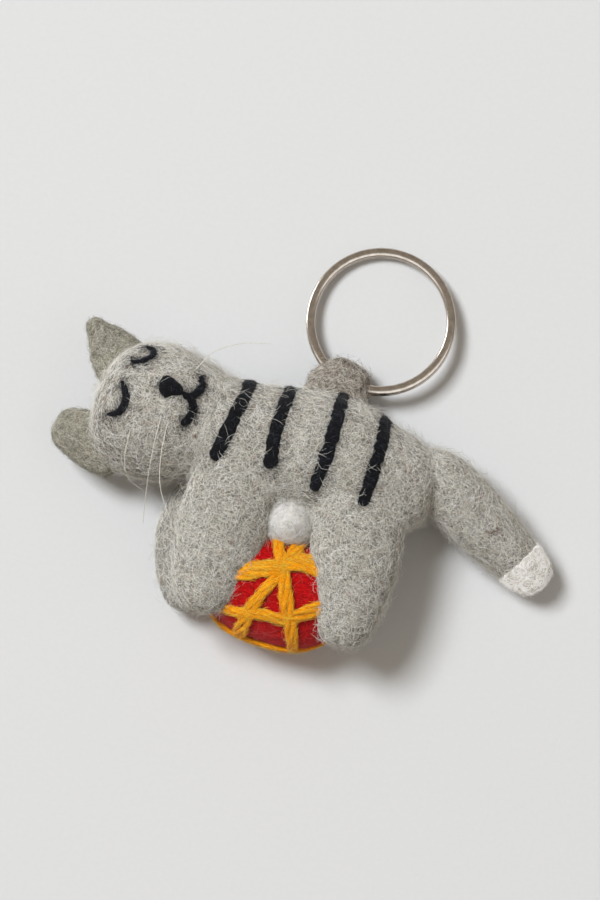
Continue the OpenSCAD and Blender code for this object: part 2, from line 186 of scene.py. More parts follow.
# The split ring, as in the part.
RING_R = 12.05
WIRE_W = 1.6
WIRE_T = 0.95
WIRE_POWER = 2.15
COIL_RISE = 0.505
RING_TILT = np.radians(9)
RING_LOW = np.radians(122)
STRAP_AT = np.radians(133)
JOG_HALF = np.radians(8)
RING_MID = RING_FROM_WAIST + [0.0, 0.0, 2.97811]

# The camera over the cat: turn and width of view, what it looks at, and its lens.
VIEW_TURN = np.radians(17)
VIEW_TALL = 0.1536
VIEW_MID = (1.13, 2.13, 6.0)
LENS = 150
SENSOR = 36
FLOOR_HALF = 1.6


# ---- forms as arrays ----


def curve(points, t):
    """Catmull-Rom curve through the points, at each t from 0 to 1."""
    p = np.asarray(points, float)
    n = len(p) - 1
    s = np.clip(np.asarray(t) * n, 0, n - 1e-9)
    i = s.astype(int)
    f = (s - i)[:, None]
    a, b, c, d = (p[np.clip(i + k, 0, n)] for k in (-1, 0, 1, 2))
    return (2 * b + (c - a) * f + (2 * a - 5 * b + 4 * c - d) * f**2 + (3 * b - a - 3 * c + d) * f**3) / 2


def evenly(path, count):
    """The path cut into equal lengths, with count points."""
    reach = np.concatenate([[0], np.cumsum(np.linalg.norm(np.diff(path, axis=0), axis=1))])
    at = np.linspace(0, reach[-1], count)
    return np.stack([np.interp(at, reach, path[:, k]) for k in range(path.shape[1])], 1)


def unit(v):
    """Vectors brought to length 1."""
    return v / np.maximum(np.linalg.norm(v, axis=-1, keepdims=True), 1e-12)


def dot(a, b):
    """Scalar products, with their axis kept."""
    return (a * b).sum(-1, keepdims=True)


def value_noise(points, size, seed):
    """Smooth noise from -1 to 1: random values at the corners of cubes, blended by 3f^2 - 2f^3."""
    repeat = 32
    lattice = np.random.default_rng(seed).uniform(-1, 1, (repeat, repeat, repeat))
    p = points / size
    i = np.floor(p).astype(int)
    f = p - i
    f = f * f * (3 - 2 * f)
    total = 0
    for corner in np.ndindex(2, 2, 2):
        share = np.prod(np.where(corner, f, 1 - f), axis=-1)
        k = (i + corner) % repeat
        total = total + share * lattice[k[..., 0], k[..., 1], k[..., 2]]
    return total


def dents(points, depth):
    """The hand-felted unevenness: broad swells, needle dents and a fine grain, summed."""
    return depth * (
        value_noise(points, 6.0, 1) + 0.55 * value_noise(points, 2.3, 2) + 0.22 * value_noise(points, 0.8, 3)
    )


class Form:
    """A soft closed body on stations: an ellipse that stands on edge across their curve, whose size
    falls away at both ends by (1 - |2t - 1| ** power) ** (1 / power)."""

    def __init__(self, line, power):
        self.line = np.array(line, float)
        self.power = power

    def spine(self, t):
        """Middle, sideways direction in plan, half width and half thickness at each t, with full ends."""
        s = curve(self.line, t)
        ahead = curve(self.line, np.minimum(t + 0.02, 1)) - curve(self.line, np.maximum(t - 0.02, 0))
        ahead = unit(ahead[:, :2])
        across = np.stack([-ahead[:, 1], ahead[:, 0], np.zeros(len(s))], 1)
        return s[:, :3], across, s[:, 3], s[:, 4]

    def grid(self, rows, cols):
        """Points by row along the body and by column round it, with a pole at each end."""
        t = (1 - np.cos(np.pi * np.linspace(0, 1, rows + 1))) / 2
        middle, across, half_w, half_t = self.spine(t)
        fall = np.maximum(0, 1 - np.abs(2 * t - 1) ** self.power) ** (1 / self.power)
        q = 2 * np.pi * np.arange(cols) / cols
        flat = (fall * half_w)[:, None] * np.cos(q)
        rise = (fall * half_t)[:, None] * np.sin(q)
        return middle[:, None] + flat[..., None] * across[:, None] + rise[..., None] * UP

    def away(self, points):
        """About how far outside the body each point is, negative inside. With e the point's share of its
        section and s its place along the line from -1 to 1, F = (e^p + |s|^p)^(1/p) - 1, over F's slope."""
        t = np.linspace(0, 1, 49)
        middle, across, half_w, half_t = self.spine(t)
        gap = points[:, None, :2] - middle[None, :, :2]
        k = (gap**2).sum(-1).argmin(1)
        d = points - middle[k]
        side = across[k]
        ahead = np.stack([side[:, 1], -side[:, 0], 0 * side[:, 0]], 1)
        length = extent(middle[:, :2])
        s = 2 * (t[k] + (d * ahead).sum(1) / length) - 1
        x = (d * side).sum(1)
        e = np.hypot(x / half_w[k], d[:, 2] / half_t[k])
        size = np.where(e > 1e-6, np.hypot(x, d[:, 2]) / np.maximum(e, 1e-6), half_w[k])
        p = self.power
        g = np.maximum((e**p + np.abs(s) ** p) ** (1 / p), 1e-6)
        slope = np.hypot((e / g) ** (p - 1) / size, (np.abs(s) / g) ** (p - 1) * 2 / length)
        return (g - 1) / np.maximum(slope, 1e-3)


def grid_normals(grid, wrap=False):
    """Outward normals of a grid: round it times along it."""
    round_it = np.roll(grid, -1, 1) - np.roll(grid, 1, 1)
    along = np.roll(grid, -1, 0) - np.roll(grid, 1, 0) if wrap else np.gradient(grid, axis=0)
    n = unit(np.cross(round_it, along))
    if not wrap:
        n[0] = unit(n[1].mean(0))
        n[-1] = unit(n[-2].mean(0))
    return n


def meet(grid, others):
    """Raises a surface where a neighbour is near, so that the two join in a fillet: each point climbs its
    normal by h until min(h, b) - max(reach - |h - b|, 0)^2 / (4 reach) is 0, b being its distance from
    the neighbour."""
    normals = grid_normals(grid)
    flat = grid.reshape(-1, 3)
    rise = np.zeros(len(flat))
    for other, reach in others:
        b = other.away(flat)
        near = (b > -0.35 * reach) & (b < reach)
        p = flat[near]
        n = normals.reshape(-1, 3)[near]
        h = np.zeros(len(p))
        for _ in range(6):
            b = other.away(p + h[:, None] * n)
            h -= 0.9 * (np.minimum(h, b) - np.maximum(reach - np.abs(h - b), 0) ** 2 / (4 * reach))
            h = np.clip(h, 0, 0.9 * reach)
        rise[near] = np.maximum(rise[near], h)
    return grid + rise.reshape(grid.shape[:2] + (1,)) * normals


def felt_grid(form, rows, cols, others, depth):
    """A form's grid joined to its neighbours and dented by the needle."""
    grid = form.grid(rows, cols)
    grid = meet(grid, others)
    grid = grid + dents(grid, depth)[..., None] * grid_normals(grid)
    grid[0] = grid[0].mean(0)
    grid[-1] = grid[-1].mean(0)
    grid[..., 2] = np.maximum(grid[..., 2], FLOOR)
    return grid


def grid_faces(rows, cols, wrap=False):
    """Corner numbers of a grid's faces. Without wrap the first and last rows are single points."""
    j = np.arange(cols)
    after = (j + 1) % cols
    if wrap:
        i = np.arange(rows)[:, None]
        low, high = i * cols, (i + 1) % rows * cols
        return [np.stack([low + j, low + after, high + after, high + j], -1).reshape(-1, 4)]
    i = np.arange(rows - 2)[:, None]
    low, high = 1 + i * cols, 1 + (i + 1) * cols
    quads = np.stack([low + j, low + after, high + after, high + j], -1).reshape(-1, 4)
    last = 1 + (rows - 1) * cols
    start = np.stack([0 * j, 1 + after, 1 + j], -1)
    end = np.stack([0 * j + last, last - cols + j, last - cols + after], -1)
    return [quads, start, end]


def closed_points(grid, wrap=False):
    """A grid's points as a list, with each pole once."""
    if wrap:
        return grid.reshape(-1, 3)
    return np.concatenate([grid[:1, 0], grid[1:-1].reshape(-1, 3), grid[-1:, 0]])


def gather(parts):
    """Joins (points, faces) parts into one list of points and one of face arrays."""
    points, faces, count = [], [], 0
    for p, f in parts:
        points.append(p)
        faces += [g + count for g in f]
        count += len(p)
    return np.concatenate(points), faces


def hair_mesh(name, tufts, material):
    """One object of many fibres, shaded mostly as the felt under them, so that a form stays readable."""
    points, faces = gather([(p, f) for p, f, _ in tufts])
    return make_mesh(name, points, faces, material, np.concatenate([n for _, _, n in tufts]))


def grids_as_parts(grids, wrap=False):
    """Each grid's points and faces, as gather() takes them."""
    ends = 0 if wrap else 1
    return [(closed_points(g, wrap), grid_faces(len(g) - ends, g.shape[1], wrap)) for g in grids]


def make_mesh(name, points, faces, material, normals=None):
    """One smooth mesh object at the frame's origin, from waist millimetres and arrays of corner numbers.
    normals, if given, are the shading directions at the points."""
    mesh = bpy.data.meshes.new(name)
    corners = np.concatenate([f.ravel() for f in faces]).astype(np.int32)
    sizes = np.concatenate([np.full(len(f), f.shape[1]) for f in faces])
    starts = np.concatenate([[0], np.cumsum(sizes)[:-1]]).astype(np.int32)
    mesh.vertices.add(len(points))
    mesh.vertices.foreach_set("co", ((points + WAIST) * MM).astype(np.float32).ravel())
    mesh.loops.add(len(corners))
    mesh.loops.foreach_set("vertex_index", corners)
    mesh.polygons.add(len(sizes))
    mesh.polygons.foreach_set("loop_start", starts)
    mesh.update(calc_edges=True)
    mesh.polygons.foreach_set("use_smooth", np.ones(len(sizes), bool))
    mesh.materials.append(material)
    if normals is not None:
        mesh.normals_split_custom_set_from_vertices(normals)
    piece = bpy.data.objects.new(name, mesh)
    bpy.context.scene.collection.objects.link(piece)
    return piece


# ---- loose wool ----


def look(values, v, u):
    """A grid's value between its points, by two-way linear blending; columns close on themselves."""
    i = np.clip(v.astype(int), 0, len(values) - 2)
    j = u.astype(int) % values.shape[1]
    f, g = (v - i)[:, None], (u - np.floor(u))[:, None]
    k = (j + 1) % values.shape[1]
    here = values[i, j] * (1 - g) + values[i, k] * g
    after = values[i + 1, j] * (1 - g) + values[i + 1, k] * g
    return here * (1 - f) + after * f


def comb(grid, count, rng, length, lift, loose, curl=2.0, steps=3, lean=None, keep=None):
    """Lays wool fibres on a grid: each starts at an area-weighted random place, walks the surface with a
    steadily turning heading, and stands off it by lift at its middle and by loose at its end. keep gives
    the share of fibres to root at a point, and lean the heading from round the grid to along it."""
    normals = grid_normals(grid)
    round_it = (np.roll(grid, -1, 1) - np.roll(grid, 1, 1)) / 2
    along = np.gradient(grid, axis=0)
    area = np.linalg.norm(np.cross(round_it, along), axis=-1)[:-1]
    if keep is not None:
        area = area * keep(grid[:-1].reshape(-1, 3)).reshape(area.shape)
    heap = np.cumsum(area.ravel())
    cell = np.searchsorted(heap, rng.random(count) * heap[-1])
    rows, cols = grid.shape[0] - 1, grid.shape[1]
    v = cell // cols + rng.random(count)
    u = cell % cols + rng.random(count)
    if lean is None:
        turn = rng.uniform(0, 2 * np.pi, count)
    else:
        turn = lean + rng.normal(0, 0.35, count) + np.pi * rng.integers(0, 2, count)
    reach = rng.uniform(length[0], length[1], count)
    bend = rng.normal(0, curl, count) / steps
    ps, ns = [], []
    heading = None
    for k in range(steps + 1):
        p, n = look(grid, v, u), unit(look(normals, v, u))
        ps.append(p)
        ns.append(n)
        pu, pv = look(round_it, v, u), look(along, v, u)
        if heading is None:
            heading = np.cos(turn)[:, None] * unit(pu) + np.sin(turn)[:, None] * unit(np.cross(n, pu))
        heading = unit(heading - dot(heading, n) * n)
        heading = np.cos(bend)[:, None] * heading + np.sin(bend)[:, None] * np.cross(n, heading)
        step = heading * (reach / steps)[:, None]
        a, b = (step * pu).sum(1), (step * pv).sum(1)
        e, f, g = (pu * pu).sum(1), (pu * pv).sum(1), (pv * pv).sum(1)
        det = np.maximum(e * g - f * f, 1e-9)
        u = (u + np.clip((g * a - f * b) / det, -cols / 10, cols / 10)) % cols
        v = np.clip(v + np.clip((e * b - f * a) / det, -rows / 10, rows / 10), 0.6, rows - 0.6)
    s = np.linspace(0, 1, steps + 1)[:, None, None]
    hump = rng.uniform(lift[0], lift[1], count)[None, :, None]
    end = (loose * rng.random(count) ** 1.4)[None, :, None]
    ps, ns = np.array(ps), np.array(ns)
    ps = ps + ns * (hump * 4 * s * (1 - s) + end * s**2 - 0.03)
    ps[..., 2] = np.maximum(ps[..., 2], FLOOR + 0.05 * rng.random(count))
    return ps, ns


def spindles(paths, normals, girth, rng, flat=0.62):
    """A three-sided tapered tube along each path, pointed at both ends: (points, faces, shading directions).
    flat is the share of the felt's own normal in the shading."""
    steps, count = len(paths) - 1, paths.shape[1]
    ahead = unit(np.gradient(paths, axis=0))
    side = unit(np.cross(normals, ahead))
    up = np.cross(ahead, side)
    r = (girth / 2 * rng.uniform(0.75, 1.3, count))[None, :, None]
    rings = [
        paths[1:-1] + r * (np.cos(q) * side[1:-1] + np.sin(q) * up[1:-1])
        for q in np.pi / 2 + 2 * np.pi * np.arange(3) / 3
    ]
    rings = np.stack(rings, 2)
    body = rings.transpose(1, 0, 2, 3).reshape(count, -1, 3)
    points = np.concatenate([paths[0][:, None], body, paths[-1][:, None]], 1)
    under = np.concatenate([normals[:1], np.repeat(normals[1:-1], 3, 0), normals[-1:]]).transpose(1, 0, 2)
    spine = np.concatenate([paths[:1], np.repeat(paths[1:-1], 3, 0), paths[-1:]]).transpose(1, 0, 2)
    shading = unit(flat * under + (1 - flat) * unit(points - spine))
    last = points.shape[1] - 1
    j = np.arange(3)
    k = (j + 1) % 3
    quads = [np.stack([i + j, i + k, i + 3 + k, i + 3 + j], -1) for i in range(1, 3 * steps - 5, 3)]
    tips = [np.stack([0 * j, 1 + k, 1 + j], -1), np.stack([0 * j + last, last - 3 + j, last - 3 + k], -1)]
    shift = (np.arange(count) * points.shape[1])[:, None, None]
    faces = [
        (np.concatenate(quads)[None] + shift).reshape(-1, 4),
        (np.concatenate(tips)[None] + shift).reshape(-1, 3),
    ]
    return points.reshape(-1, 3), faces, shading.reshape(-1, 3)


# ---- materials ----


class Value:
    """A shader value. Arithmetic on it adds Math nodes to its tree."""

    def __init__(self, tree, socket):
        self.tree = tree
        self.socket = socket

    def math(self, operation, *others, clamp=False):
        """One Math node on this value and the others."""
        node = self.tree.nodes.new("ShaderNodeMath")
        node.operation = operation
        node.use_clamp = clamp
        for socket, value in zip(node.inputs, (self, *others)):
            feed(self.tree, socket, value)
        return Value(self.tree, node.outputs[0])

    def __add__(self, other):
        return self.math("ADD", other)

    __radd__ = __add__

    def __mul__(self, other):
        return self.math("MULTIPLY", other)

    __rmul__ = __mul__

    def __sub__(self, other):
        return self.math("SUBTRACT", other)

    def __rsub__(self, other):
        return (self * -1) + other

    def __truediv__(self, other):
        return self.math("DIVIDE", other)

    def larger(self, other):
        return self.math("MAXIMUM", other)

    def between(self, low, high):
        """0 below low, 1 above high, and straight between."""
        return ((self - low) / (high - low)).math("ADD", 0.0, clamp=True)


def feed(tree, socket, value):
    """Links a Value to a socket, or sets the socket to anything else."""
    if isinstance(value, Value):
        tree.links.new(value.socket, socket)
    else:
        socket.default_value = value


class Finish:
    """A material and its node tree, with one method for any node."""

    def __init__(self, name):
        self.material = bpy.data.materials.new(name)
        self.material.use_nodes = True
        self.tree = self.material.node_tree
        self.shader = self.tree.nodes["Principled BSDF"]
        self.place = self.node("ShaderNodeTexCoord", out="Object")

    def node(self, kind, settings=None, inputs=None, out=0):
        """Adds a node with its settings and then its sockets' values or links, and gives one output."""
        node = self.tree.nodes.new(kind)
        for key, value in (settings or {}).items():
            setattr(node, key, value)
        for key, value in (inputs or {}).items():
            feed(self.tree, node.inputs[key], value)
        return Value(self.tree, node.outputs[out])

    def noise(self, scale, detail=3.0, roughness=0.55, place=None):
        """Noise from 0 to 1, scale times finer than a metre."""
        inputs = {"Vector": place or self.place, "Scale": scale, "Detail": detail, "Roughness": roughness}
        return self.node("ShaderNodeTexNoise", inputs=inputs)

    def turned(self, turn, stretch):
        """Object coordinates turned and stretched, for a pattern with a grain."""
        inputs = {"Vector": self.place, "Rotation": turn, "Scale": stretch}
        return self.node("ShaderNodeMapping", inputs=inputs)

    def mix(self, share, a, b):
        """Colour a turning into colour b, by share."""
        a, b = (c if isinstance(c, Value) else (*c, 1.0) for c in (a, b))
        return self.node("ShaderNodeMix", {"data_type": "RGBA"}, {0: share, 6: a, 7: b}, out=2)

    def wear(self, **sockets):
        """Sets or links the shader's own sockets, named in lower case with underscores."""
        for key, value in sockets.items():
            name = key.replace("_", " ").title().replace("Ior", "IOR")
            feed(self.tree, self.shader.inputs[name], value)
        return self.material

    def bump(self, height, strength, distance):
        """A normal tilted by the slope of height, distance metres deep."""
        inputs = {"Height": height, "Strength": strength, "Distance": distance}
        return self.node("ShaderNodeBump", inputs=inputs)


def colour(*srgb):
    """Linear colour from 8-bit screen values."""
    c = np.array(srgb) / 255
    return tuple(float(x) for x in np.where(c <= 0.04045, c / 12.92, ((c + 0.055) / 1.055) ** 2.4))


def streaks(finish, fine):
    """Crossing hair-thin grain in three directions: noise stretched along each, the strongest kept."""
    total = None
    for turn in ((0.3, 0.2, 0.5), (1.4, 0.4, 2.1), (0.2, 1.2, 3.6)):
        grain = finish.noise(1.0, 2.0, 0.5, finish.turned(turn, (fine * 0.12, fine, fine)))
        total = grain if total is None else total.larger(grain)
    return total


def felt_material(name, dark, mid, pale, warm=None, warm_share=0.5, sheen=0.35):
    """Needle felt: blended dark and pale hairs over slow drifts of tone, a fibrous bump and a soft sheen."""
    finish = Finish(name)
    grain = streaks(finish, 8200.0)
    drift = finish.noise(260.0, 3.0)
    base = finish.mix(grain.between(0.50, 0.72), dark, mid)
    base = finish.mix((grain + (drift - 0.5) * 0.25).between(0.62, 0.82), base, pale)
    if warm:
        blush = finish.noise(420.0, 2.0, 0.5, finish.turned((0.7, 0.1, 1.9), (1.0, 1.0, 1.0)))
        base = finish.mix(blush.between(0.52, 0.72) * warm_share, base, warm)
    height = grain + 0.5 * finish.noise(3000.0, 2.0)
    return finish.wear(
        base_color=base,
        roughness=0.86 + 0.12 * grain,
        normal=finish.bump(height, 0.7, 0.00012),
        sheen_weight=sheen,
        sheen_roughness=0.55,
        specular_ior_level=0.25,
    )


def hair_material(name, tint, sheen=0.3, painted_glow=0.0):
    """Finish of one dyed fibre: a single tint, as the felt's mixture comes from hairs of several tints.
    soaked sets a painted glow: emission in the fibre's own tint, standing in for the light that comes through
    loose white wool from behind."""
    finish = Finish(name)
    return finish.wear(
        base_color=(*tint, 1.0),
        roughness=0.62,
        sheen_weight=sheen,
        sheen_roughness=0.4,
        specular_ior_level=0.35,
        # Emission in the fibre's own tint: a painted glow, off unless soaked is set.
        emission_color=(*tint, 1.0),
        emission_strength=painted_glow,
    )


def nickel_material():
    """Nickel plating, a little smeared by handling and finely scratched along the wire."""
    finish = Finish("nickel_plating")
    smear = finish.noise(900.0, 4.0)
    scratch = finish.noise(1.0, 2.0, 0.5, finish.turned((0.0, 0.0, 0.6), (300.0, 6000.0, 6000.0)))
    tone = finish.mix(smear.between(0.4, 0.7), colour(216, 207, 198), colour(192, 181, 170))
    return finish.wear(
        base_color=tone,
        metallic=1.0,
        roughness=0.14 + 0.14 * smear + 0.06 * scratch,
        normal=finish.bump(scratch, 0.05, 0.00002),
    )


# ---- settings ----


class FeltSettings(PropertyGroup):
    """Coat of the cat: its evenness, its loose hairs and their tints."""

    dent_depth: FloatProperty(
        name="Dent depth",
        description="Depth of the felt's unevenness",
        default=0.16 * MM,
        min=0.0,
        max=0.5 * MM,
        unit="LENGTH",
    )
    hair_girth: FloatProperty(
        name="Hair girth",
        description="Thickness of a loose fibre",
        default=0.044 * MM,
        min=0.02 * MM,
        max=0.2 * MM,
        unit="LENGTH",
    )
    hair_share: FloatProperty(
        name="Hair share",
        description="Share of the full number of loose fibres",
        default=1.0,
        min=0.01,
        max=2.0,
        subtype="FACTOR",
    )
    pale: FloatVectorProperty(
        name="Pale wool",
        description="Lightest hair of the coat",
        default=colour(246, 244, 238),
        subtype="COLOR",
    )
    mid: FloatVectorProperty(
        name="Mid wool",
        description="Commonest hair of the coat",
        default=colour(188, 184, 175),
        subtype="COLOR",
    )
    dark: FloatVectorProperty(
        name="Dark wool",
        description="Darkest hair of the coat",
        default=colour(98, 94, 86),
        subtype="COLOR",
    )
    warm: FloatVectorProperty(
        name="Warm wool",
        description="Brownish hair of the coat",
        default=colour(190, 166, 148),
        subtype="COLOR",
    )


class TrimSettings(PropertyGroup):
    """Sizes of the marks, the yarn and the whiskers."""

    stripe_width: FloatProperty(
        name="Stripe width",
        description="Width of a black stripe",
        default=2.3 * MM,
        min=1.0 * MM,
        max=3.0 * MM,
        unit="LENGTH",
    )
    mark_rise: FloatProperty(
        name="Mark rise",
        description="How far a black mark stands proud",
        default=0.4 * MM,
        min=0.05 * MM,
        max=0.6 * MM,
        unit="LENGTH",
    )
    yarn_width: FloatProperty(
        name="Yarn width",
        description="Width of the yarn on the ball",
        default=1.85 * MM,
        min=0.8 * MM,
        max=2.2 * MM,
        unit="LENGTH",
    )
    whisker_girth: FloatProperty(
        name="Whisker girth",
        description="Thickness of a whisker",
        default=0.17 * MM,
        min=0.05 * MM,
        max=0.4 * MM,
        unit="LENGTH",
    )


def mm(length):
    """A setting's metres in millimetres, cleared of single precision's last digits."""
    return round(length / MM, 5)


def felt():
    """Settings of the coat."""
    return bpy.context.scene.cat_felt


def trim():
    """Settings of the marks, the yarn and the whiskers."""
    return bpy.context.scene.cat_trim


def hairs(count):
    return max(8, int(count * felt().hair_share * (1.0)))


FORMS = {
    "body": Form(BODY_LINE, 3),
    "head": Form(HEAD_LINE, 2.1),
    "left_ear": Form(LEFT_EAR_LINE, 3.4),
    "right_ear": Form(RIGHT_EAR_LINE, 3.4),
    "left_front_leg": Form(LEFT_FRONT_LINE, 2.8),
    "right_front_leg": Form(RIGHT_FRONT_LINE, 2.8),
    "left_hind_leg": Form(LEFT_HIND_LINE, 2.8),
    "right_hind_leg": Form(RIGHT_HIND_LINE, 2.8),
    "belly_patch": Form(BELLY_LINE, 2.2),
    "tail": Form(TAIL_LINE, 3.6),
    "wool_ball": Form(BALL_LINE, BALL_POWER),
    "loop": Form(LOOP_LINE, 3.0),
}
LEGS = ("left_front_leg", "right_front_leg", "left_hind_leg", "right_hind_leg")
NEIGHBOURS = {  # what each body grows into, and how far the fillet between them reaches, mm
    "body": {"head": 2.8, **{leg: 1.9 for leg in LEGS}, "tail": 0.9, "loop": 1.3, "belly_patch": 1.2},
    "head": {"body": 2.8, "left_ear": 0.7, "right_ear": 0.7},
    "left_ear": {"head": 0.7},
    "right_ear": {"head": 0.7},
    "left_front_leg": {"body": 1.9},
    "right_front_leg": {"body": 1.9},
    "left_hind_leg": {"body": 1.9},
    "right_hind_leg": {"body": 1.9},
    "belly_patch": {"body": 1.2},
    "tail": {"body": 0.9},
    "wool_ball": {},
    "loop": {"body": 1.3},
}
SIZE = {  # rows along and columns round
    "body": (150, 180),
    "head": (110, 150),
    "left_ear": (60, 70),
    "right_ear": (60, 70),
    "left_front_leg": (100, 110),
    "right_front_leg": (90, 100),
    "left_hind_leg": (100, 110),
    "right_hind_leg": (90, 100),
    "belly_patch": (40, 90),
    "tail": (130, 110),
    "wool_ball": (110, 140),
    "loop": (70, 90),
}
GRIDS = {}
LINES = []


def grid_of(name):
    """The finished surface of a felt body, worked out once."""
    if name not in GRIDS:
        others = [(FORMS[n], reach) for n, reach in NEIGHBOURS[name].items()]
        rows, cols = SIZE[name]
        lumpy = 2.6 if name == "belly_patch" else 1.0
        GRIDS[name] = felt_grid(FORMS[name], rows, cols, others, mm(felt().dent_depth) * lumpy)
    return GRIDS[name]


def extent(path):
    """Length of a path."""
    return np.linalg.norm(np.diff(path, axis=0), axis=1).sum()


def mark_lines():
    """Points about 0.8 mm apart along every black mark, worked out once."""
    if not LINES:
        for grids in mark_grids().values():
            for grid in grids:
                middle = grid.mean(1)
                LINES.append(evenly(middle, max(3, int(extent(middle) / 0.8))))
    return np.concatenate(LINES)


def from_marks(points):
    """Distance of each point from the nearest black mark's middle line."""
    line = mark_lines()
    near = [((chunk[:, None] - line) ** 2).sum(-1).min(1) for chunk in np.array_split(points, 60)]
    return np.sqrt(np.concatenate(near))


def clear_of(*names, tip=True, margin=1.6):
    """The share of fibres for comb() to root at a point: none where it is buried in any of the named
    bodies or, unless tip is True, on the tail's white tip, few within margin of a black mark, and fewer on
    the side that the cat lies on."""

    def keep(points):
        free = 0.45 + 0.55 * (points[:, 2] > 5.0)
        for name in names:
            free = free * (FORMS[name].away(points) > -0.25)
        free = free * np.where(from_marks(points) > margin, 1.0, 0.02)
        if not tip:
            past = (points[:, :2] - TIP_CUT) @ np.array([np.cos(TIP_DIR), np.sin(TIP_DIR)])
            free = free * (past < -0.6)
        return free

    return keep


def on_top(grid, plan):
    """Points on a grid's near side at plan points, and the normals there. Each is its nearest corner in
    plan, moved sideways along the slope."""
    normals = grid_normals(grid)
    flat, up = grid.reshape(-1, 3), normals.reshape(-1, 3)
    seen = np.flatnonzero(up[:, 2] > 0.02)
    gap = ((flat[seen][None, :, :2] - plan[:, None, :2]) ** 2).sum(-1)
    k = seen[gap.argmin(1)]
    n = up[k]
    p = flat[k].copy()
    shift = plan[:, :2] - p[:, :2]
    p[:, :2] = plan[:, :2]
    p[:, 2] -= np.clip((n[:, :2] * shift).sum(1) / np.maximum(n[:, 2], 0.25), -0.5, 0.5)
    return p, n


def laid(path, normals, half_width, rise, cols=20, wrap=False, sink=0.35, rough=0.0, seed=5):
    """A flattened roll of wool laid along a path: its section is an ellipse half_width wide, rise high
    above the path and sink times that below. half_width and rise may change along it."""
    if wrap:
        ahead = unit(np.roll(path, -1, 0) - np.roll(path, 1, 0))
    else:
        ahead = unit(np.gradient(path, axis=0))
    side = unit(np.cross(normals, ahead))
    up = np.cross(ahead, side)
    q = 2 * np.pi * np.arange(cols) / cols
    w = np.broadcast_to(half_width, len(path))[:, None, None]
    h = np.broadcast_to(rise, len(path))[:, None, None]
    lobe = np.where(np.sin(q) > 0, 1.0, sink) * np.sin(q)
    grid = path[:, None] + w * np.cos(q)[:, None] * side[:, None] + h * lobe[:, None] * up[:, None]
    if rough:
        out = unit(grid - path[:, None])
        bumps = value_noise(grid, 0.9, seed) + 0.6 * value_noise(grid, 0.4, seed + 1)
        grid = grid + rough * bumps[..., None] * out
    if not wrap:
        grid[0] = path[0]
        grid[-1] = path[-1]
    grid[..., 2] = np.maximum(grid[..., 2], FLOOR)
    return grid


def tapered(count, blunt=0.25):
    """Width along a mark: full in the middle and rounded off over the blunt share at each end."""
    t = np.linspace(0, 1, count)
    edge = np.clip(np.minimum(t, 1 - t) / blunt, 0, 1)
    return np.sqrt(1 - (1 - edge) ** 2)


def finish_piece(piece, body, slot, *nodes, blend=None):
    """Attaches a piece to its body, or with blend fixes its place in the frame, and hides the plain solids
    that it stands for.
    """
    if blend:
        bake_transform(piece)
    else:
        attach(piece, body)
    if nodes:
        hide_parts(*nodes)


def framed(point):
    """A waist point in the frame's metres."""
    return tuple(float(x) for x in (np.array(point) + WAIST) * MM)


BLENDS = {  # two bodies, and where a soft piece begins and ends going over from one to the other
    "tail": ("cat", "tail", framed((20.5, 6.0, 9.2)), framed((26.5, 3.4, 9.0))),
    "loop": ("cat", "loop", framed((3.6, 11.6, 7.8)), framed((4.6, 15.0, 5.4))),
}


def felt_piece(piece_name, name, material, slot, *nodes, fill=None):
    """One felt body. fill, the share of it that is wool, is not used."""
    piece = make_mesh(piece_name, *gather(grids_as_parts([grid_of(name)])), material)
    finish_piece(piece, "cat", slot, *nodes, blend=BLENDS.get(name))


def laid_piece(name, grids, material, slot, node, wrap=False):
    """One piece on the cat of one or more laid rolls, in place of the plain solid called node."""
    piece = make_mesh(name, *gather(grids_as_parts(grids, wrap)), material)
    finish_piece(piece, "cat", slot, node)


def hair_piece(name, tufts, material, slot, body="cat", blend=None):
    """One piece of many loose fibres."""
    finish_piece(hair_mesh(name, tufts, material), body, slot, blend=blend)


def tuft(grid, count, rng, girth, length, lift, loose, flat=0.62, to_sky=0.0, **how):
    """Fibres combed over a grid, as spindles() gives them. to_sky leans their shading straight up."""
    paths, normals = comb(grid, count, rng, length, lift, loose, **how)
    return spindles(paths, unit(normals + to_sky * UP), girth, rng, flat)


def face_shading(free, face):
    """Takes free's share of fibres, and thins it (face 1) or crowds it (face -1) over the face's lower
    left, which paints shade there: fewer pale fibres and more dark ones make that side read darker."""

    corner, across, reach = np.array([-33.5, -7.0]), np.array([0.62, 0.78]), 16

    def keep(points):
        along = (points[:, :2] - corner) @ across
        # tone is painted shade: least at the lower left corner, where pale fibres thin and dark ones crowd
        tone = 0.1 + 0.9 * np.clip(along / reach, 0, 1)
        return free(points) * (tone if face > 0 else 1.6 - tone)

    return keep if face else free


def within(middle, reach):
    """Roots fibres only within reach of a point."""

    def keep(points):
        return 1.0 * (np.linalg.norm(points - middle, axis=1) < reach)

    return keep


def beside_marks(margin):
    """Roots fibres only within margin of a black mark's middle line."""

    def keep(points):
        return 1.0 * (from_marks(points) < margin)

    return keep


def wool(names, share, seed, length, lift, loose, girth, curl=2.0, steps=3, face=0, margin=1.6):
    """Fibres over several bodies, so many on each."""
    rng = np.random.default_rng(seed)
    tufts = []
    for name in names:
        free = clear_of(*NEIGHBOURS[name], tip=name != "tail", margin=margin)
        # On the head only, fibres are thinned or crowded over the face's lower left: painted shade.
        keep = face_shading(free, face if name == "head" else 0)
        how = {"curl": curl, "steps": steps, "keep": keep}
        tufts.append(tuft(grid_of(name), hairs(share[name]), rng, girth, length, lift, loose, **how))
    return tufts


# ---- operators ----


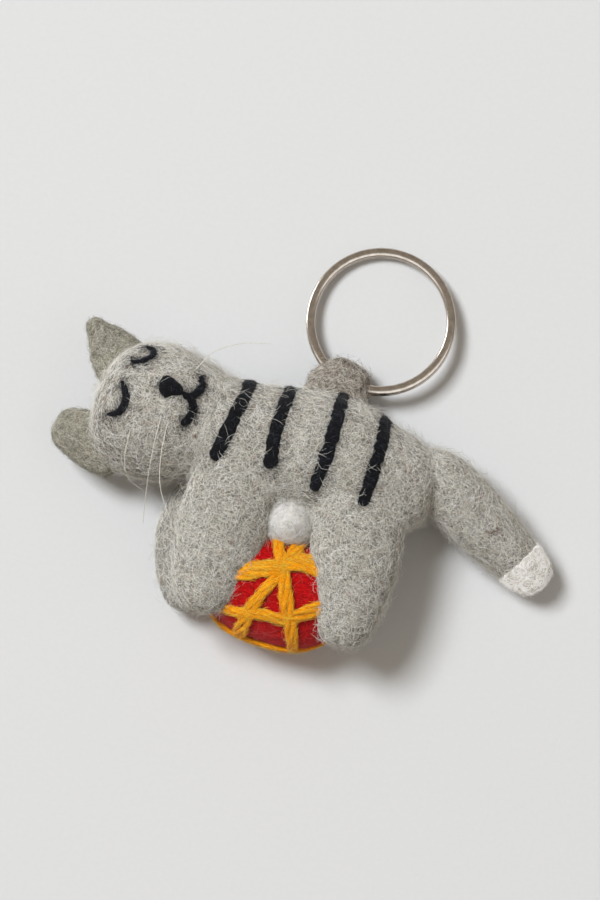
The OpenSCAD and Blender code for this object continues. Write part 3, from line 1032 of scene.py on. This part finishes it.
class CAT_OT_stage(Operator):
    """Camera over the cat, pale floor and soft light from the upper left"""

    bl_idname = "cat.stage"
    bl_label = "Stage"

    def execute(self, context):
        right = np.array([np.cos(VIEW_TURN), np.sin(VIEW_TURN), 0])
        up = np.array([-np.sin(VIEW_TURN), np.cos(VIEW_TURN), 0])
        centre = np.array(framed(VIEW_MID))
        camera = bpy.data.objects.new("camera", bpy.data.cameras.new("camera"))
        camera.data.lens = LENS
        camera.data.sensor_width = SENSOR
        camera.data.clip_end = 20
        camera.location = centre + UP * (VIEW_TALL * LENS / SENSOR)
        camera.rotation_euler = (0, 0, VIEW_TURN)
        context.scene.collection.objects.link(camera)
        context.scene.camera = camera
        context.scene.view_settings.view_transform = "Standard"

        mesh = bpy.data.meshes.new("floor")
        corners = FLOOR_HALF * np.array([(-1, -1, 0), (1, -1, 0), (1, 1, 0), (-1, 1, 0)])
        mesh.from_pydata(corners, [], [(0, 1, 2, 3)])
        floor = bpy.data.objects.new("floor", mesh)
        context.scene.collection.objects.link(floor)
        finish = Finish("pale_card")
        speck = finish.noise(1200.0, 3.0)
        finish.wear(
            base_color=finish.mix(speck.between(0.3, 0.7), colour(219, 219, 220), colour(221, 221, 222)),
            roughness=0.9,
            specular_ior_level=0.1,
        )
        mesh.materials.append(finish.material)

        # The last two cards show only in the ring, where the first two don't.
        for name, offset, width, depth, power, lights_felt in (
            ("key_light", -1.12 * right + 1.02 * up + 2.2 * UP, 0.8, 0.8, 68.0, True),
            ("fill_light", 0.9 * right - 0.3 * up + 0.9 * UP, 1.2, 1.2, 1.3, True),
            ("edge_card", -1.5 * right + 0.8 * up + 0.45 * UP, 0.8, 0.5, 13.0, False),
            ("sky_card", -0.5 * up + 1.6 * UP, 4.0, 1.3, 17.0, False),
        ):
            data = bpy.data.lights.new(name, "AREA")
            data.color = (0.94, 0.975, 1.0)
            data.shape = "RECTANGLE"
            data.size = width
            data.size_y = depth
            data.energy = power
            lamp = bpy.data.objects.new(name, data)
            lamp.visible_diffuse = lights_felt
            lamp.visible_glossy = not lights_felt
            lamp.location = centre + offset
            away = unit(offset)
            heading = float(np.arctan2(away[1], away[0]) + np.pi / 2)
            lamp.rotation_euler = (float(np.arccos(away[2])), 0, heading)
            context.scene.collection.objects.link(lamp)
        world = bpy.data.worlds.new("soft_room")
        world.use_nodes = True
        background = world.node_tree.nodes["Background"]
        background.inputs["Color"].default_value = (1.0, 0.89, 0.74, 1.0)
        background.inputs["Strength"].default_value = 0.29
        context.scene.world = world
        return {"FINISHED"}


class CAT_OT_felt_bodies(Operator):
    """Head, body, ears, legs and tail of grey needle felt"""

    bl_idname = "cat.felt_bodies"
    bl_label = "Felt bodies"

    def execute(self, context):
        s = felt()
        pale = colour(236, 234, 228)
        coat = felt_material("grey_felt", tuple(s.dark), tuple(s.mid), pale, tuple(s.warm), 0.2)
        mixture = (colour(112, 108, 94), colour(168, 163, 146), colour(206, 202, 188), colour(160, 138, 116))
        ears = felt_material("ear_felt", *mixture, 0.25)
        felt_piece("body_felt", "body", coat, "grey_wool", "body_coat", "body_core", fill=0.95)
        felt_piece("head_felt", "head", coat, "grey_wool", "head_coat", "head_core", fill=0.95)
        for side in ("left", "right"):
            felt_piece(side + "_ear_felt", side + "_ear", ears, "ear_wool", side + "_ear")
        for name in LEGS:
            felt_piece(name + "_felt", name, coat, "grey_wool", name, fill=0.9)
        felt_piece("tail_felt", "tail", coat, "grey_wool", "tail", fill=0.9)
        return {"FINISHED"}


class CAT_OT_pale_patches(Operator):
    """Off-white belly patch and tail tip"""

    bl_idname = "cat.pale_patches"
    bl_label = "Pale patches"

    def execute(self, context):
        mixture = (colour(216, 212, 204), colour(244, 242, 238), colour(253, 252, 250), colour(238, 226, 214))
        white = felt_material("white_felt", *mixture, 0.3)
        felt_piece("belly_patch_felt", "belly_patch", white, "white_wool", "belly_patch")
        tip = tip_grid()
        shading = unit(closed_points(grid_normals(tip)) + 1.4 * UP)
        piece = make_mesh("tail_tip_felt", *gather(grids_as_parts([tip])), white, shading)
        finish_piece(piece, "tail", "white_wool", "tail_tip")
        return {"FINISHED"}


def tip_grid():
    """The tail's last stretch, grown a little and closed inside the tail."""
    grid = grid_of("tail")
    normals = grid_normals(grid)
    first = int(len(grid) * TIP_SHARE)
    part = grid[first:] + 0.12 * normals[first:]
    part[-1] = part[-1].mean(0)
    inner = grid[first : first + 1].mean(1, keepdims=True).repeat(grid.shape[1], 1)
    edge = inner + (grid[first : first + 1] - inner) * 0.97
    return np.concatenate([inner, edge, part])


class CAT_OT_ball(Operator):
    """Red felt ball wound with yellow yarn"""

    bl_idname = "cat.ball"
    bl_label = "Wool ball"

    def execute(self, context):
        mixture = (colour(140, 3, 6), colour(216, 6, 14), colour(238, 34, 34))
        red = felt_material("red_felt", *mixture, sheen=0.05)
        felt_piece("wool_ball_felt", "wool_ball", red, "red_wool", "wool_ball", fill=1.0)
        mixture = (colour(226, 128, 2), colour(255, 182, 10), colour(255, 212, 56))
        yellow = felt_material("yellow_yarn", *mixture, sheen=0.05)
        laid_piece("ball_yarn_plies", yarn_grids(), yellow, "yellow_yarn", "ball_yarn", wrap=True)
        return {"FINISHED"}


def ball_surface(plan, side):
    """Points of the ball over plan points, on its near side (+1) or far side (-1): in halves of its size,
    z = side * sqrt((1 - |x|^p)^(2/p) - y^2)."""
    x = (plan[:, 0] - BALL_MID[0]) / BALL_HALF[0]
    y = (plan[:, 1] - BALL_MID[1]) / BALL_HALF[1]
    room = np.maximum(1 - np.abs(x) ** BALL_POWER, 0) ** (2 / BALL_POWER)
    z = np.sqrt(np.maximum(room - y**2, 0))
    return np.stack([plan[:, 0], plan[:, 1], BALL_MID[2] + side * BALL_HALF[2] * z], 1)


def ball_normals(points):
    """Directions out of the ball: the slope of |x|^p + (y^2 + z^2)^(p/2)."""
    p = BALL_POWER
    d = (points - BALL_MID) / BALL_HALF
    ring = (d[:, 1] ** 2 + d[:, 2] ** 2) ** (p / 2 - 1)
    slope = np.stack([np.sign(d[:, 0]) * np.abs(d[:, 0]) ** (p - 1), ring * d[:, 1], ring * d[:, 2]], 1)
    return unit(slope / BALL_HALF)


def to_rim(plan):
    """Pulls plan points outside the ball's outline back onto it, towards the ball's middle."""
    p = BALL_POWER
    d = (plan - BALL_MID[:2]) / BALL_HALF[:2]
    size = (np.abs(d[:, 0]) ** p + np.abs(d[:, 1]) ** p) ** (1 / p)
    return BALL_MID[:2] + (plan - BALL_MID[:2]) / np.maximum(size, 1)[:, None]


def yarn_routes():
    """Closed routes on the ball: across the near face as given, and back straight across the far face."""
    routes = []
    for plan in YARN_ROUTES:
        near = to_rim(curve(plan, np.linspace(0, 1, 400)))
        far = near[-1] + (near[0] - near[-1]) * np.linspace(0, 1, 400)[:, None]
        loop = np.concatenate([ball_surface(near, 1), ball_surface(to_rim(far), -1)[1:-1]])
        routes.append(evenly(np.concatenate([loop, loop[:1]]), 171)[:-1])
    q = np.linspace(0, 2 * np.pi, 401)
    rim = BALL_MID[:2] + BALL_HALF[:2] * np.stack([np.cos(q), np.sin(q)], 1) * 1.4
    rim = ball_surface(to_rim(rim), 1)
    routes.append(evenly(rim, 171)[:-1])
    return routes


def yarn_grids():
    """Each route as loosely laid plies: ply i lies beside the route by half * cos(a) and above it by a
    fifth of that times sin(a), with a slowly turning as it goes."""
    grids = []
    half = mm(trim().yarn_width) / 2
    plies = 4
    for i, path in enumerate(yarn_routes()):
        normals = ball_normals(path)
        side = unit(np.cross(normals, np.roll(path, -1, 0) - np.roll(path, 1, 0)))
        t = np.arange(len(path)) / len(path)
        spread = half * (0.72 + 0.16 * np.sin(2 * np.pi * (3 * t + 0.31 * i)))
        for k in range(plies):
            a = 2 * np.pi * (k / plies + round(3.5 + i % 2) * t) + i
            across = (spread * np.cos(a))[:, None] * side
            rise = (0.34 + 0.1 * (i % 3) + 0.17 * np.sin(a))[:, None] * normals
            girth = 0.46 + 0.05 * np.sin(2 * np.pi * (5 * t + 0.2 * k))
            ply = path + across + rise
            how = {"cols": 10, "wrap": True, "sink": 1.0, "rough": 0.05, "seed": 40 + plies * i + k}
            grids.append(laid(ply, normals, girth, 0.36, **how))
    return grids


class CAT_OT_marks(Operator):
    """Black wool: stripes, closed eyes, nose and mouth"""

    bl_idname = "cat.marks"
    bl_label = "Black marks"

    def execute(self, context):
        mixture = (colour(7, 8, 11), colour(17, 18, 24), colour(48, 50, 60))
        black = felt_material("black_felt", *mixture, sheen=0.05)
        for name, grids in mark_grids().items():
            laid_piece(name + "_felt", grids, black, "black_wool", name)
        return {"FINISHED"}


def stripe_grid(plan, seed):
    """A stripe over the body from the far flank round the back to the near one: at each angle round the
    body, its place along the body is where the plan line has that height."""
    body = grid_of("body")
    rows, cols = body.shape[0] - 1, body.shape[1]
    plan = evenly(curve(plan, np.linspace(0, 1, 60)), 60)
    low_y = plan[-1, 1]
    columns = np.arange(cols)
    middle_row = np.interp(plan[:, 0].mean(), body.mean(1)[:, 0], np.arange(rows + 1))
    here = look(body, np.full(cols, middle_row), columns.astype(float))
    upper = (columns <= cols // 2) & (here[:, 2] >= MID_Z - 0.2)
    end = columns[upper][np.abs(here[upper, 1] - low_y).argmin()]
    u = np.linspace(-end, end, 150)
    v = np.full(len(u), middle_row)
    for _ in range(4):
        p = look(body, v, u % cols)
        want = np.interp(p[:, 1], plan[::-1, 1], plan[::-1, 0])
        step = (look(body, v + 1, u % cols) - look(body, v - 1, u % cols))[:, 0] / 2
        v = v + (want - p[:, 0]) / step
    path = look(body, v, u % cols)
    normals = unit(look(grid_normals(body), v, u % cols))
    width = mm(trim().stripe_width) / 2 * tapered(len(u), 0.03)
    width = width * (1 + 0.14 * value_noise(path, 1.4, seed))
    return laid(path, normals, width, mm(trim().mark_rise), cols=24, sink=0.8, rough=0.15, seed=seed)


def face_grid(plan, width, rise, seed, blunt=0.25, count=70):
    """A mark laid on the near side of the head along a plan line."""
    head = grid_of("head")
    plan = evenly(curve(plan, np.linspace(0, 1, 80)), count)
    path, normals = on_top(head, plan)
    body_path, body_normals = on_top(grid_of("body"), plan)
    over = (body_path[:, 2] > path[:, 2]) & (np.abs(body_path[:, 0] - plan[:, 0]) < 0.6)
    path[over], normals[over] = body_path[over], body_normals[over]
    path[:, 2] = np.convolve(np.pad(path[:, 2], 3, "edge"), np.ones(7) / 7, "valid")
    width = width / 2 * tapered(count, blunt)
    return laid(path, normals, width, rise, cols=20, sink=0.8, rough=0.07, seed=seed)


def mark_grids():
    """Each black mark's name and its laid rolls."""
    rise = mm(trim().mark_rise)
    marks = {"stripe_" + str(i + 1): [stripe_grid(plan, 20 + i)] for i, plan in enumerate(STRIPES)}
    marks["left_eye"] = [face_grid(LEFT_EYE, 1.15, rise, 30, 0.5)]
    marks["right_eye"] = [face_grid(RIGHT_EYE, 1.4, rise, 31, 0.5)]
    marks["nose"] = [nose_grid()]
    marks["mouth"] = [face_grid(MOUTH_UP, 1.3, rise, 33), face_grid(MOUTH_DOWN, 1.45, rise, 34)]
    return marks


def nose_grid():
    """A plump rounded wedge, laid on the muzzle: its half width is a half ellipse up to the widest place
    and then narrows in a straight line to the mouth."""
    head = grid_of("head")
    count = 60
    plan = evenly(curve(np.array(NOSE_LINE, float), np.linspace(0, 1, 80)), count)
    path, normals = on_top(head, plan)
    t = np.linspace(0, 1, count)
    full = 2.0
    widest = 0.36
    round_end = np.sqrt(np.clip(1 - (1 - t / widest) ** 2, 0, 1))
    narrow_end = 1 - 0.72 * np.clip((t - widest) / (1 - widest), 0, 1)
    width = full * np.where(t < widest, round_end, narrow_end) * np.sqrt(np.clip((1 - t) / 0.08, 0, 1))
    return laid(path, normals, width, 0.75 * np.sqrt(width / full), cols=40, sink=0.5, rough=0.14, seed=36)


class CAT_OT_loop(Operator):
    """Felt strap that holds the ring"""

    bl_idname = "cat.loop"
    bl_label = "Hanging loop"

    def execute(self, context):
        mixture = (colour(96, 88, 80), colour(164, 155, 145), colour(206, 198, 188), colour(160, 132, 112))
        brown = felt_material("strap_felt", *mixture, 0.4)
        felt_piece("hanging_loop_felt", "loop", brown, "loop_wool", "hanging_loop", "loop_root")
        return {"FINISHED"}


class CAT_OT_ring(Operator):
    """Split ring of two turns of domed nickel-plated wire"""

    bl_idname = "cat.ring"
    bl_label = "Split ring"

    def execute(self, context):
        piece = make_mesh("key_ring_wire", *gather(grids_as_parts([ring_grid()])), nickel_material())
        finish_piece(piece, "ring", "nickel", "split_ring")
        return {"FINISHED"}


def ring_grid(count=520, cols=28):
    """The wire's section |w|^2.15 + |t|^2.15 = 1 carried round twice: the upper turn drops to the lower one
    by half a cosine under the strap, and each end is cut off with rounded edges."""
    span = 2 * np.pi - 2 * JOG_HALF
    whole = JOG_HALF + span
    a = np.concatenate([[-whole] * 3, np.linspace(-whole, whole, count), [whole] * 3])
    drop = np.clip((a + JOG_HALF) / (2 * JOG_HALF), 0, 1)
    level = COIL_RISE * np.cos(np.pi * drop)
    shrink = np.ones(len(a))
    shrink[[0, -1]] = 0
    shrink[[1, -2]] = 0.8
    a[2] += 0.004
    a[-3] -= 0.004
    q = -2 * np.pi * np.arange(cols) / cols
    across, above = (np.sign(c) * np.abs(c) ** (2 / WIRE_POWER) for c in (np.cos(q), np.sin(q)))
    w = shrink[:, None] * WIRE_W / 2 * across
    t = shrink[:, None] * WIRE_T / 2 * above
    angle = (a + STRAP_AT)[:, None]
    r = RING_R + w
    x, y, z = r * np.cos(angle), r * np.sin(angle), level[:, None] + t
    x, z = x * np.cos(RING_TILT) + z * np.sin(RING_TILT), z * np.cos(RING_TILT) - x * np.sin(RING_TILT)
    x, y = x * np.cos(RING_LOW) - y * np.sin(RING_LOW), x * np.sin(RING_LOW) + y * np.cos(RING_LOW)
    return RING_MID + np.stack([x, y, z], -1)


class CAT_OT_whiskers(Operator):
    """Pale thread whiskers"""

    bl_idname = "cat.whiskers"
    bl_label = "Whiskers"

    def execute(self, context):
        finish = Finish("whisker_thread")
        tone = finish.noise(2500.0, 2.0)
        material = finish.wear(
            base_color=finish.mix(tone.between(0.4, 0.6), colour(226, 222, 212), colour(205, 198, 186)),
            roughness=0.4,
        )
        half = mm(trim().whisker_girth) / 2
        for name, lines in (("right_whiskers", RIGHT_WHISKERS), ("left_whiskers", LEFT_WHISKERS)):
            grids = []
            for line in lines:
                path = evenly(curve(line, np.linspace(0, 1, 120)), 60)
                radius = half * (0.75 if name == "left_whiskers" else 1.0) * np.linspace(1, 0.55, len(path))
                grids.append(laid(path, np.broadcast_to(UP, path.shape), radius, radius, cols=8, sink=1.0))
            laid_piece(name + "_thread", grids, material, "whisker_thread", name)
        return {"FINISHED"}


COAT_GROUPS = {"trunk": ("body", "head"), "leg": LEGS, "tail": ("tail",)}
COAT_SHARE = {  # loose fibres for each unit of a tint's weight
    "body": 4050,
    "head": 2900,
    "left_front_leg": 2350,
    "right_front_leg": 650,
    "left_hind_leg": 2250,
    "right_hind_leg": 600,
    "tail": 2300,
}
FUZZ_SHARE = {name: 0.4 * count for name, count in COAT_SHARE.items()} | {"tail": 800}
FUZZ = {"lift": (0.1, 0.7), "curl": 2.4}


class CAT_OT_loose_wool(Operator):
    """Loose fibres that lie on and stand off the felt"""

    bl_idname = "cat.loose_wool"
    bl_label = "Loose wool"

    def execute(self, context):
        s = felt()
        girth = mm(s.hair_girth)
        tints = {  # material, length, greatest lift and weight of each kind of hair
            "pale": (hair_material("pale_hair", tuple(s.pale)), (1.6, 3.8), 0.20, 1.25),
            "cream": (hair_material("cream_hair", colour(224, 218, 205)), (1.5, 3.6), 0.17, 1.06),
            "mid": (hair_material("mid_hair", tuple(s.mid)), (1.5, 3.4), 0.15, 0.6),
            "dark": (hair_material("dark_hair", tuple(s.dark)), (1.4, 3.2), 0.10, 0.97),
            "warm": (hair_material("warm_hair", tuple(s.warm)), (1.6, 3.6), 0.16, 0.3),
            "ink": (hair_material("ink_hair", colour(54, 51, 49)), (1.0, 2.4), 0.08, 0.4),
        }
        for i, (tint, (material, length, lift, weight)) in enumerate(tints.items()):
            share = {name: count * weight for name, count in COAT_SHARE.items()}
            how = {"length": length, "lift": (0.0, lift), "loose": 0.3, "girth": girth}
            # Pale and cream fibres thinned, and the others crowded, over the face's lower left: painted
            # shade.
            how["face"] = 1 if tint in ("pale", "cream") else -1
            self.coat("_wool_" + tint, share, 100 + i, material, how)
        self.strap(girth)
        how = {"length": (1.6, 4.2), "loose": 2.0, "girth": girth * 0.8, "steps": 4, "margin": 2.6, **FUZZ}
        for i, tint in enumerate(("pale", "cream")):
            self.coat("_fuzz_" + tint, FUZZ_SHARE, 200 + i, tints[tint][0], how)
        self.ears({"dark": tints["dark"][0], "pale": tints["cream"][0]}, girth)
        self.whites(girth)
        self.ball(girth)
        self.yarn(girth)
        self.blacks(girth)
        self.specks(girth)
        return {"FINISHED"}

    def coat(self, name, share, seed, material, how):
        """One kind of hair over the whole coat, in a piece for each group of felt bodies."""
        for group, bodies in COAT_GROUPS.items():
            tufts = wool(bodies, share, seed + 20 * (group == "tail"), **how)
            hair_piece(group + name, tufts, material, "grey_wool", blend=BLENDS.get(group))

    def strap(self, girth):
        """Brown-grey hairs of the hanging loop."""
        dyes = (
            ("pale", colour(232, 226, 216), 1200),
            ("brown", colour(184, 170, 154), 900),
            ("dark", colour(100, 92, 84), 750),
            ("ink", colour(52, 48, 46), 260),
        )
        for i, (tint, dye, count) in enumerate(dyes):
            material = hair_material("strap_hair_" + tint, dye)
            tufts = wool(("loop",), {"loop": count}, 140 + i, (1.3, 3.0), (0.0, 0.2), 0.4, girth)
            how = {"length": (1.2, 3.2), "loose": 1.6, "girth": girth * 0.8, **FUZZ}
            tufts += wool(("loop",), {"loop": count * 0.22}, 150 + i, **how)
            hair_piece("loop_wool_" + tint, tufts, material, "loop_wool", blend=BLENDS["loop"])

    def ears(self, shared, girth):
        """Short brownish hairs of both ears, some of them shared with the coat."""
        hosts = ("left_ear", "right_ear")
        brown = hair_material("ear_hair", colour(184, 179, 161))
        kinds = (("mid", brown, 1500), ("dark", shared["dark"], 1100), ("pale", shared["pale"], 700))
        for i, (name, material, count) in enumerate(kinds):
            flat = wool(hosts, dict.fromkeys(hosts, count), 300 + i, (1.2, 2.8), (0.0, 0.15), 0.3, girth)
            hair_piece("ear_wool_" + name, flat, material, "ear_wool")
            few = dict.fromkeys(hosts, count * 0.25)
            fuzz = wool(hosts, few, 320 + i, (1.0, 2.2), (0.1, 0.4), 1.0, girth * 0.6)
            hair_piece("ear_fuzz_" + name, fuzz, material, "ear_wool")

    def whites(self, girth):
        """White and ivory hairs of the tail's tip and the belly patch."""
        # The tip's white hairs glow a little: painted light that brightens the tip's shaded side.
        tip_glow = hair_material("tip_hair_glowing", colour(253, 250, 246), painted_glow=0.36)
        kinds = (
            ("white", hair_material("white_hair", colour(253, 252, 250)), 1900),
            ("ivory", hair_material("ivory_hair", colour(226, 219, 208)), 900),
            ("shade", hair_material("shade_hair", colour(150, 140, 128)), 150),
        )
        how = {"girth": girth, "length": (1.2, 3.2), "lift": (0.02, 0.4), "loose": 0.9, "curl": 2.4}
        keep = clear_of("body", *LEGS, "wool_ball")
        for i, (name, material, count) in enumerate(kinds):
            rng = np.random.default_rng(400 + i)
            tip = tuft(tip_grid(), hairs(count), rng, flat=0.85, to_sky=1.6, **how)
            dye = tip_glow if name == "white" else material
            hair_piece("tip_wool_" + name, [tip], dye, "white_wool", "tail")
            belly = tuft(grid_of("belly_patch"), hairs(count), rng, keep=keep, **how)
            hair_piece("belly_wool_" + name, [belly], material, "white_wool")

    def ball(self, girth):
        """Red hairs of the ball."""
        kinds = (("red", colour(216, 22, 24), 1500, 0.4), ("pink", colour(222, 96, 92), 300, 0.8))
        how = {"girth": girth * 0.8, "length": (1.5, 3.5), "lift": (0.02, 0.25), "curl": 2.4, "steps": 6}
        how["keep"] = clear_of(*LEGS)
        for i, (name, dye, count, loose) in enumerate(kinds):
            rng = np.random.default_rng(500 + i)
            tufts = [tuft(grid_of("wool_ball"), hairs(count), rng, loose=loose, **how)]
            hair_piece("ball_wool_" + name, tufts, hair_material(name + "_hair", dye), "red_wool")

    def yarn(self, girth):
        """Yellow hairs that run along the yarn's plies."""
        kinds = (("gold", colour(255, 220, 76), 265), ("amber", colour(240, 164, 12), 150))
        how = {"girth": girth, "length": (1.2, 3.2), "lift": (0.0, 0.25), "loose": 0.7, "curl": 1.2}
        how.update(flat=0.4, lean=np.pi / 2, keep=clear_of(*LEGS))
        for i, (name, dye, count) in enumerate(kinds):
            rng = np.random.default_rng(520 + i)
            tufts = [tuft(grid, hairs(count), rng, **how) for grid in yarn_grids()]
            hair_piece("yarn_wool_" + name, tufts, hair_material(name + "_hair", dye), "yellow_yarn")

    def blacks(self, girth):
        """Black hairs on the marks and, straying, on the coat along their edges, and a few bluish-grey ones
        that paint in highlights on the black wool.
        """
        rng = np.random.default_rng(600)
        how = {"length": (0.7, 1.7), "lift": (0.02, 0.2), "curl": 1.6}
        inks, slate_glints = [], []
        for grids in mark_grids().values():
            for grid in grids:
                run = extent(grid.mean(1))
                inks.append(tuft(grid, hairs(12.5 * run), rng, girth * 0.9, loose=0.6, **how))
                # Bluish-grey fibres on the marks: painted highlights of the black wool.
                slate_glints.append(tuft(grid, hairs(5 * run), rng, girth * 0.7, loose=0.2, **how))
        glint_finish = hair_material("glint_hair", colour(78, 82, 96), 0.1)
        hair_piece("mark_wool_glints", slate_glints, glint_finish, "black_wool")
        how = {"girth": girth, "length": (0.6, 1.5), "lift": (0.05, 0.3), "loose": 0.25, "curl": 1.6}
        for host, count, margin in (("body", 3700, 1.75), ("head", 1500, 1.2)):
            inks.append(tuft(grid_of(host), hairs(count), rng, keep=beside_marks(margin), **how))
        ink = hair_material("black_hair", colour(22, 23, 30), 0.1)
        hair_piece("mark_wool", inks, ink, "black_wool")

    def specks(self, girth):
        """Small tangles of stray dyed wool caught in the coat."""
        rust = hair_material("rust_hair", colour(128, 74, 58))
        how = {"girth": girth * 1.3, "length": (0.6, 1.6), "lift": (0.05, 0.3), "loose": 0.3, "curl": 3.0}
        for i, (body, host, middle) in enumerate(SPECKS):
            rng = np.random.default_rng(700 + i)
            tangle = tuft(grid_of(host), 16, rng, steps=4, keep=within(middle, 1.1), **how)
            hair_piece("speck_" + str(i + 1), [tangle], rust, "grey_wool", body)


class CAT_PT_panel(Panel):
    """The operators in the order in which they build the cat, and its settings"""

    bl_label = "Felted cat"
    bl_idname = "CAT_PT_panel"
    bl_space_type = "VIEW_3D"
    bl_region_type = "UI"
    bl_category = "Felt"

    def draw(self, context):
        column = self.layout.column()
        for operator in OPERATORS:
            column.operator(operator.bl_idname)
        for settings in (context.scene.cat_felt, context.scene.cat_trim):
            for name in settings.__annotations__:
                column.prop(settings, name)


OPERATORS = (
    CAT_OT_stage,
    CAT_OT_felt_bodies,
    CAT_OT_pale_patches,
    CAT_OT_ball,
    CAT_OT_marks,
    CAT_OT_loop,
    CAT_OT_ring,
    CAT_OT_whiskers,
    CAT_OT_loose_wool,
)
CLASSES = (FeltSettings, TrimSettings, *OPERATORS, CAT_PT_panel)


def register():
    """Adds the classes and the two groups of settings."""
    for cls in CLASSES:
        bpy.utils.register_class(cls)
    bpy.types.Scene.cat_felt = PointerProperty(type=FeltSettings)
    bpy.types.Scene.cat_trim = PointerProperty(type=TrimSettings)


def unregister():
    """Takes away what register() added."""
    del bpy.types.Scene.cat_felt
    del bpy.types.Scene.cat_trim
    for cls in reversed(CLASSES):
        bpy.utils.unregister_class(cls)


def main():
    """Builds the cat, piece group by piece group."""
    register()
    bpy.ops.cat.stage()
    bpy.ops.cat.felt_bodies()
    bpy.ops.cat.pale_patches()
    bpy.ops.cat.ball()
    bpy.ops.cat.marks()
    bpy.ops.cat.loop()
    bpy.ops.cat.ring()
    bpy.ops.cat.whiskers()
    bpy.ops.cat.loose_wool()


if __name__ == "__main__":
    main()
